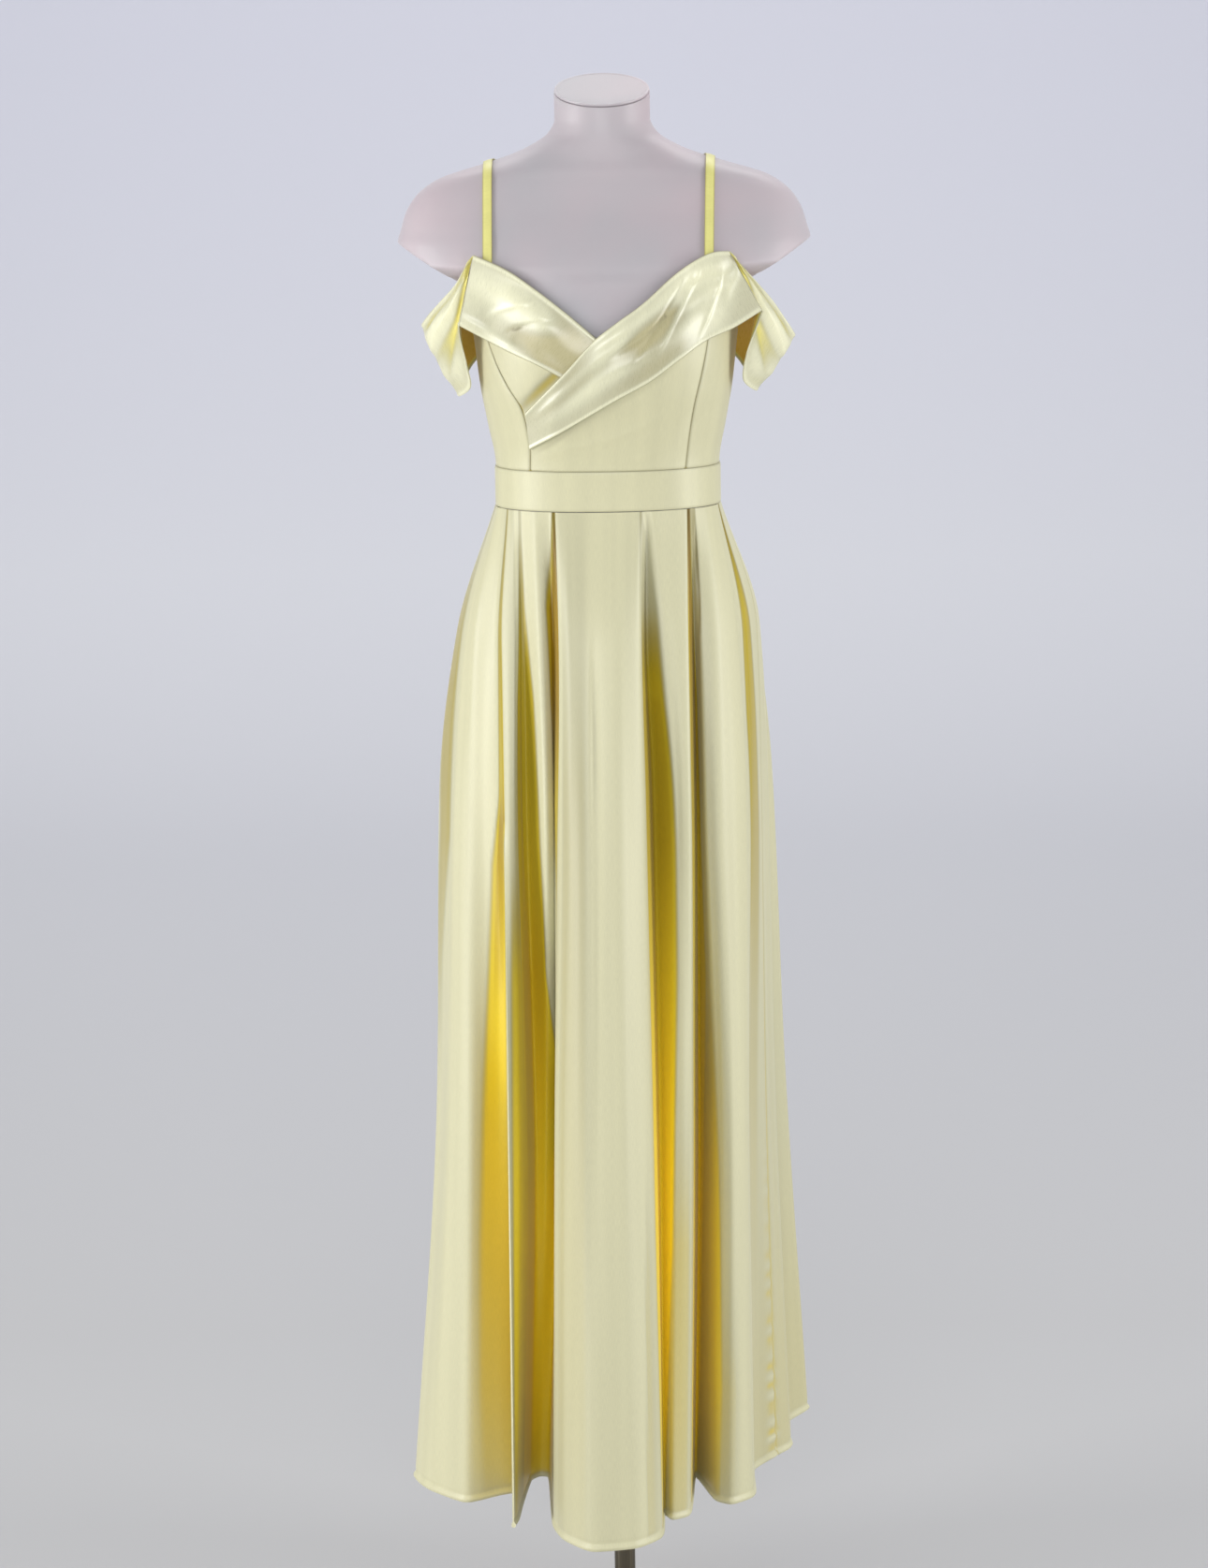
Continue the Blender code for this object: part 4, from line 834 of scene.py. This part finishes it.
# The fold lines are numbered from the slit's back edge, 0, round behind to the slit's front edge, 47: the
# right side seam is 5, the centre back 18, the left side seam 28 and the centre panel runs from 37 to 41.
# small creases, listed one by one: fold line number, width in fold lines, from and to down the skirt, height in
# mm
CREASES = [(42.5, 0.38, 0.0, 0.8, 5.0), (38.87, 0.17, 0.07, 0.8, -3.2), (38.25, 0.3, 0.08, 0.98, 2.4),
           (39.5, 0.3, 0.1, 0.9, 1.6), (38.9, 0.1, 0.1, 0.3, -1.6), (40.4, 0.25, 0.25, 0.99, -1.4),
           (32.3, 0.22, 0.01, 0.12, -3.4), (31.4, 0.3, 0.04, 0.7, 1.8), (31.9, 0.2, 0.16, 0.9, -1.6),
           (30.5, 0.2, 0.1, 0.85, 1.4), (29.6, 0.2, 0.03, 0.55, -1.8), (34.5, 0.2, 0.3, 0.99, 1.2),
           (34.7, 0.16, 0.06, 0.4, -1.2), (27.5, 0.25, 0.15, 0.95, -1.8), (26.5, 0.22, 0.05, 0.45, 1.6),
           (44.5, 0.22, 0.02, 0.4, -1.4), (46.5, 0.3, 0.05, 0.6, 1.0), (1.5, 0.25, 0.1, 0.6, -1.6),
           (2.4, 0.3, 0.2, 0.95, 1.8), (3.5, 0.25, 0.06, 0.5, -1.4), (4.6, 0.22, 0.3, 0.97, 1.6),
           (7.5, 0.25, 0.05, 0.45, 1.6), (10.3, 0.3, 0.1, 0.7, -1.8), (13.6, 0.25, 0.04, 0.5, 1.6),
           (16.4, 0.3, 0.2, 0.9, -1.6), (19.5, 0.25, 0.05, 0.6, 1.5), (22.3, 0.25, 0.1, 0.8, -1.4)]
# pressed pleat lines, each sunk as a crease and painted with a line of shade: fold line number, width in mm,
# where they end down the skirt, strength
PLEATS = [(41.12, 1.5, 0.3, 1.0), (36.9, 1.3, 0.1, 0.35), (33.85, 1.2, 0.3, 0.9), (29.25, 1.5, 0.24, 0.9)]
# painted shade where the cloth turns in between folds and only sees other cloth: softness at the two sides in
# fold lines, then stations, each share down the skirt, from and to fold line, strength; below 0 is a painted
# highlight on a crest
PAINTED_SHADE_BANDS = {
    "valley beside the slit": (0.3, 0.45, [
        (0.02, 43.9, 44.9, 0.25), (0.09, 43.8, 45.2, 0.52), (0.18, 43.35, 45.6, 0.78),
        (0.32, 43.2, 45.7, 0.82), (0.45, 42.9, 45.5, 0.9), (0.58, 42.0, 45.4, 0.86), (0.72, 41.4, 45.4, 0.8),
        (0.88, 41.4, 45.2, 0.8), (1.0, 41.4, 45.2, 0.7)]),
    "viewer's left of the centre panel, high": (0.06, 0.9, [
        (0.0, 41.05, 41.8, 1.0), (0.09, 41.05, 43.0, 1.0), (0.18, 41.05, 43.0, 1.0),
        (0.26, 41.1, 42.6, 0.85), (0.36, 41.1, 42.0, 0.45), (0.5, 41.1, 41.8, 0.15),
        (1.0, 41.1, 41.8, 0.15)]),
    "strip in front of the slit": (0.4, 1.2, [
        (0.06, 45.3, 47.3, 0.1), (0.34, 45.3, 47.3, 0.25), (0.45, 45.0, 47.4, 0.66),
        (0.72, 44.6, 47.5, 0.72), (0.88, 44.4, 47.5, 0.7), (1.0, 44.3, 47.4, 0.5)]),
    "viewer's right of the centre panel": (0.45, 0.08, [
        (0.0, 36.5, 36.9, 0.2), (0.03, 35.4, 36.8, 0.15), (0.09, 34.85, 36.8, 0.26),
        (0.18, 34.9, 36.8, 0.84), (0.32, 34.65, 36.8, 0.86), (0.45, 34.6, 36.8, 0.8),
        (0.72, 34.85, 36.85, 0.8), (0.88, 35.2, 36.85, 0.75), (1.0, 35.5, 36.9, 0.6)]),
    "dip beside the side pleat": (0.3, 0.06, [
        (0.0, 33.3, 33.85, 1.0), (0.09, 33.0, 33.85, 1.0), (0.18, 32.65, 33.85, 0.92),
        (0.32, 32.5, 33.85, 0.84), (0.45, 32.3, 33.85, 0.76), (0.6, 32.5, 33.85, 0.82),
        (0.88, 32.6, 33.85, 0.82), (1.0, 32.7, 33.85, 0.7)]),
    "turn of the side pleat, low": (0.35, 0.35, [
        (0.45, 32.0, 33.6, 0.3), (0.6, 31.8, 33.6, 0.5), (0.72, 31.6, 33.5, 0.58), (0.88, 31.4, 33.5, 0.56),
        (1.0, 31.5, 33.5, 0.45)]),
    "dip before the left side seam": (0.35, 0.15, [
        (0.0, 29.0, 29.4, 0.95), (0.09, 28.7, 29.5, 0.75), (0.2, 28.4, 29.6, 0.66), (0.32, 28.2, 29.5, 0.5),
        (0.5, 28.2, 29.5, 0.3), (1.0, 28.5, 29.4, 0.2)]),
    "left side seam, low": (0.6, 0.6, [
        (0.3, 24.5, 29.6, 0.0), (0.6, 24.5, 29.8, 0.16), (1.0, 24.5, 30.0, 0.3)]),
    "viewer's left of the centre panel's middle": (0.5, 0.3, [
        (0.0, 38.9, 40.8, 0.1), (0.25, 38.9, 40.8, 0.24), (1.0, 38.8, 40.8, 0.24)]),
    "narrow pleat, low": (0.4, 0.4, [
        (0.5, 33.9, 35.3, 0.0), (0.72, 33.9, 35.5, 0.36), (1.0, 33.9, 35.7, 0.36)]),
    "viewer's right edge of the centre panel, low": (0.6, 0.1, [
        (0.5, 36.9, 37.2, 0.0), (0.72, 36.8, 37.5, 0.26), (1.0, 36.8, 37.7, 0.3)]),
    "side pleat, low": (0.6, 0.6, [
        (0.7, 30.5, 32.0, 0.0), (0.88, 30.4, 32.2, 0.3), (1.0, 30.4, 32.2, 0.26)]),
    "right side seam": (0.5, 0.5, [
        (0.04, 3.6, 4.9, 0.22), (0.1, 3.4, 5.1, 0.36), (0.18, 3.4, 5.3, 0.44), (0.32, 3.2, 4.9, 0.4),
        (0.45, 3.9, 5.2, 0.28), (0.62, 3.9, 5.2, 0.0)]),
    "turned cloth behind the slit": (0.01, 0.4, [
        (0.0, -1, 0.5, 0.4), (0.12, -1, 0.8, 0.5), (0.27, -1, 1.0, 0.85), (0.3, -1, 1.2, 0.95),
        (0.34, -1, 1.4, 0.92), (0.45, -1, 1.53, 0.86), (0.6, -1, 1.8, 0.6), (0.72, -1, 1.9, 0.52),
        (0.88, -1, 1.9, 0.42), (1.0, -1, 1.8, 0.28)]),
    "gleam on the soft strip": (0.3, 0.3, [
        (0.04, 42.4, 43.7, 0.0), (0.1, 42.4, 43.7, -0.4), (0.45, 42.0, 43.0, -0.4),
        (0.56, 42.0, 43.0, 0.0)]),
    "gleam behind the slit": (0.5, 0.5, [
        (0.02, 1.9, 3.6, -0.15), (0.4, 1.9, 3.6, -0.35), (0.8, 2.3, 4.2, -0.35), (1.0, 2.4, 4.4, -0.2)]),
    "gleam on the centre panel": (0.4, 0.5, [
        (0.15, 37.2, 38.8, 0.0), (0.3, 37.2, 38.8, -0.28), (0.9, 37.6, 38.8, -0.28),
        (1.0, 37.6, 38.8, 0.0)]),
    "gleam on the side pleat": (0.4, 0.4, [
        (0.0, 30.4, 31.8, 0.0), (0.09, 30.4, 32.0, -0.25), (0.5, 30.4, 31.6, -0.15),
        (0.7, 30.4, 31.6, 0.0)])}
RIGHT_SEAM, CENTRE_BACK, LEFT_SEAM = 5, 18, 28
# how much of the worked-out hidden light is painted in as shade, and how crisp the fold lines are, in front and
# behind
HIDDEN_FRONT, HIDDEN_BACK = 0.15, 0.95
CRISP_FRONT, CRISP_BACK = 0.62, 0.2
# the wanted distance between columns low on the skirt, in mm
FOLD_SPACING = 4.0
# behind: how far ridges and dips start off the form, and how high the hem hangs, in mm
RIDGE_LIFT, DIP_LIFT, BACK_HEM = 5.4, 3.9, 188


def waist_point(degrees, lift):
    """The skirt's top edge at an angle, outside the form."""
    return body_point(degrees, np.array(SKIRT_TOP), lift)[:2]


def fold_table():
    """Every fold line as x, y at the five levels, and its hem height; a back ridge is two lines, a dip one."""
    slit_side, front = ([([waist_point(*row[:2]), *row[2:6]], row[6]) for row in rows]
                        for rows in (FOLDS_SLIT_SIDE, FOLDS_FRONT))
    ridges = np.array([FOLDS_SLIT_SIDE[-1][5], *BACK_RIDGES, FOLDS_FRONT[0][5]], float)
    back = []
    for i, (near, far) in enumerate(zip(ridges, ridges[1:])):
        hems = [((near + far) / 2, False)]
        if i < len(BACK_RIDGES):
            along = (ridges[i + 2] - near) * RIDGE_WIDTH / 2
            hems += [(far - along, True), (far + along, True)]
        for hem, ridge in hems:
            points = [hem * scale * (1 if ridge else dip) for scale, dip in zip(BACK_SCALE, BACK_DIP)]
            angle = math.degrees(math.atan2(hem[0] / 0.98, -hem[1]))
            top = waist_point(angle if angle < 0 else angle - 360, RIDGE_LIFT if ridge else DIP_LIFT)
            back.append(([top, *points], BACK_HEM))
    lines = slit_side + back + front
    return np.array([points for points, _ in lines], float), np.array([low for _, low in lines], float)


def in_front(number):
    """1 for the fold lines in front and 0 for those behind, with a short change at the side seams."""
    return np.clip((number - LEFT_SEAM + 2) / 2, 0, 1) + np.clip((RIGHT_SEAM + 1 - number) / 2, 0, 1)


def skirt_surface(downs):
    """The skirt's outer surface, a row of points for each share down it, and each column's fold number.

    A fold line runs down through its five levels. Round the skirt the lines are joined by one smooth curve,
    mixed with straight steps that are rounded at the lines, so that pressed folds stay crisp. The first line
    is the slit's own edge, which leaves the other edge below the slit's top.
    """
    table, hems = fold_table()
    spread = 0.5 * sum(np.linalg.norm(np.diff(table[:, row], axis=0), axis=1) for row in (4, 3))
    steps = [14] + [int(np.clip(round(length / FOLD_SPACING), 9, 24)) for length in spread]
    number = np.concatenate([i + np.arange(n) / n for i, n in enumerate(steps)] + [[len(steps)]])
    crisp = (CRISP_BACK + (CRISP_FRONT - CRISP_BACK) * in_front(number))[:, None]
    low = np.minimum(number.astype(int), len(steps) - 1)
    share = (number - low)[:, None]
    rows = []
    for w in downs:
        at = np.array([curve_through(LEVELS, points, np.array(w)) for points in table])
        back = 1 - (1 - np.clip((w - SLIT_START) / (1 - SLIT_START), 0, 1)) ** 1.5
        slit = at[-1] + np.array(SLIT_OPENING) * back
        start = [[slit[0], slit[1], SKIRT_TOP - w * (SKIRT_TOP - (HEM + back))]]
        points = np.concatenate([start, np.column_stack([at, SKIRT_TOP - w * (SKIRT_TOP - hems)])])
        flat = points[low] * (1 - share) + points[low + 1] * share
        for _ in range(2):
            flat[1:-1] = (flat[:-2] + 2 * flat[1:-1] + flat[2:]) / 4
        rows.append(flat * crisp + through(points, steps) * (1 - crisp))
    return np.array(rows), number


def plan_normals(grid):
    """The level unit normals of the skirt, outwards."""
    step = np.gradient(grid, axis=1)
    return unit(np.stack([-step[..., 1], step[..., 0], 0 * step[..., 0]], axis=-1))


def hidden_share(grid, normal):
    """How much of the light from around each point the other folds cut off, from 0 to 1, row by row.

    Level rays fan out from the point, weighted by the cosine to its normal, and each is tried against every
    step of the row's own outline within 0.3 m.
    """
    fan = np.radians(np.arange(-75, 76, 15.0))
    weight = np.cos(fan) / np.cos(fan).sum()
    shares = np.zeros(grid.shape[:2])
    for r, (row, out) in enumerate(zip(grid[..., :2], normal[..., :2])):
        near, far = row[:-1], row[1:]
        edge_way = far - near
        for angle, part in zip(fan, weight):
            c, s = math.cos(angle), math.sin(angle)
            way = np.stack([out[:, 0] * c - out[:, 1] * s, out[:, 0] * s + out[:, 1] * c], axis=-1)
            start = row + out * 1.5
            gap = near[None] - start[:, None]
            cross = way[:, None, 0] * edge_way[None, :, 1] - way[:, None, 1] * edge_way[None, :, 0]
            cross = np.where(np.abs(cross) < 1e-9, 1e-9, cross)
            far_along = (gap[..., 0] * edge_way[None, :, 1] - gap[..., 1] * edge_way[None, :, 0]) / cross
            on_edge = (gap[..., 0] * way[:, None, 1] - gap[..., 1] * way[:, None, 0]) / cross
            hit = (far_along > 0) & (far_along < 300) & (on_edge >= 0) & (on_edge <= 1)
            shares[r] += part * hit.any(axis=1)
    return shares


downs = np.unique(np.concatenate([np.linspace(0, 0.05, 12), np.linspace(0.05, 0.97, 92),
                                  np.linspace(0.97, 1, 16)]))
skirt, fold_number = skirt_surface(downs)
out = plan_normals(skirt)
sparse = np.unique(np.append(np.arange(0, len(downs), 5), len(downs) - 1))
few = np.arange(0, skirt.shape[1], 2)
# painted shade from how much light the other folds cut off
coarse = hidden_share(skirt[sparse][:, few], out[sparse][:, few])
coarse = np.array([np.interp(np.arange(skirt.shape[1]), few, row) for row in coarse])
shade = curve_through(downs[sparse], coarse, downs)
shade *= HIDDEN_BACK + (HIDDEN_FRONT - HIDDEN_BACK) * in_front(fold_number)

down, along = downs[:, None], walked(skirt, 1)


def along_line(number):
    """How far round each row a fold line lies, in mm."""
    return np.array([np.interp(number, fold_number, row) for row in along])[:, None]


lift, pleat_crease_shade = np.zeros(skirt.shape[:2]), np.zeros(skirt.shape[:2])
for number, width, start, stop, height in CREASES:
    t = np.clip((down - start) / (stop - start), 0, 1)
    lift += height * (4 * t * (1 - t)) ** 1.2 * bell(fold_number - number, width)
for number, width, stop, strength in PLEATS:
    fade = np.clip(1 - down / stop, 0, 1) ** 0.7
    pleat_crease_shade = np.maximum(pleat_crease_shade, strength * fade * bell(along - along_line(number), width))
hem_above = (1 - down) * (SKIRT_TOP - HEM)
hem_roll = 2.0 * bell(hem_above - 2.6, 2.6) - 0.7 * bell(hem_above - 7.5, 1.8)
# the left side seam is sewn a little tight, which puckers the cloth in front of it toward the hem
pucker = (np.clip((down - 0.62) / 0.3, 0, 1) * bell(along - along_line(LEFT_SEAM) - 7, 9)
          * (np.sin(hem_above / 3.4 + 1.5 * np.sin(hem_above / 19)) + 0.4 * np.sin(hem_above / 1.7)))
lift += 1.3 * pucker - 1.7 * pleat_crease_shade

# painted shade in the valleys and painted highlights on the crests
for soft_from, soft_to, stations in PAINTED_SHADE_BANDS.values():
    share, first, last, strength = (np.interp(downs, [row[0] for row in stations], column)[:, None]
                                    for column in zip(*stations))
    into = np.clip((fold_number - first) / soft_from, 0, 1) * np.clip((last - fold_number) / soft_to, 0, 1)
    value = strength * smooth(into)
    shade = np.where(value < 0, shade + value, np.maximum(shade, value))
# painted light near the hem, where light comes in from below: the shade is eased there
shade *= 1 - 0.2 * np.exp(-hem_above / 90)
# painted shade along the pleat lines and in the puckers' troughs, with painted highlights on the puckers'
# crests
shade = np.maximum(shade, 0.9 * pleat_crease_shade) + 0.2 * np.clip(-pucker, 0, 1) - 0.3 * np.clip(pucker, 0, 1)
# a painted highlight along the rolled hem
rolled = bell(hem_above, 4.5)
shade = shade * (1 - rolled) - 0.5 * rolled
# painted dimming: less light reaches into the narrow upper folds, and least at the waistband
dimness = (0.50 * smooth((0.72 - down) / 0.52) + 0.28 * np.clip(1 - down / 0.10, 0, 1)) * smooth(shade / 0.7)
dimness = np.maximum(dimness, 0.8 * pleat_crease_shade)

# piece, node, first and last fold line, flat width and length in metres, area
pieces = [("skirt_side", "skirt_side_front", 0, RIGHT_SEAM, (0.17, 1.06), 0.154),
          ("skirt_rear_right", "skirt_back_right", RIGHT_SEAM, CENTRE_BACK, (0.57, 1.06), 0.401),
          ("skirt_rear_left", "skirt_back_left", CENTRE_BACK, LEFT_SEAM, (0.46, 1.06), 0.344),
          ("skirt_pleated", "skirt_front", LEFT_SEAM, fold_number[-1], (0.93, 1.06), 0.694)]
for name, node, first, last, flat, area in pieces:
    first, last = np.searchsorted(fold_number, [first - 1e-6, last - 1e-6])
    part = slice(first, last + 1)
    surface, normal, raised = skirt[:, part], out[:, part], lift[:, part]
    side, slit_edge = from_edges(surface)[0], np.zeros(surface.shape[:2])
    if name in ("skirt_side", "skirt_pleated"):
        from_slit = walked(surface, 1)
        from_slit = from_slit if name == "skirt_side" else from_slit[:, -1:] - from_slit
        slit_edge = np.clip((down - SLIT_START) / 0.03, 0, 1) * bell(from_slit, 3.2)
    seam_sink = -0.9 * bell(side, 1.6) * (1 - slit_edge) + 0.9 * slit_edge
    outer = surface + normal * (raised + hem_roll + seam_sink)[..., None]
    inner = surface + normal * (raised - 1.0 - 0.6 * hem_roll)[..., None]
    for layer in (outer, inner):
        for end, near in ((0, 1), (-1, -2)):
            layer[:, end] += SEAM_GAP / 2 * unit(layer[:, near] - layer[:, end])
    # painted shade, with more along the seams, and a painted highlight along the slit's rolled edges
    fold_shade = np.maximum(shade[:, part], 0.38 * bell(side, 1.3)) * (1 - slit_edge) - 0.5 * slit_edge
    piece = cloth(name, outer, inner, satin, fold_shade, dim=dimness[:, part] * (1 - slit_edge))
    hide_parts(node)
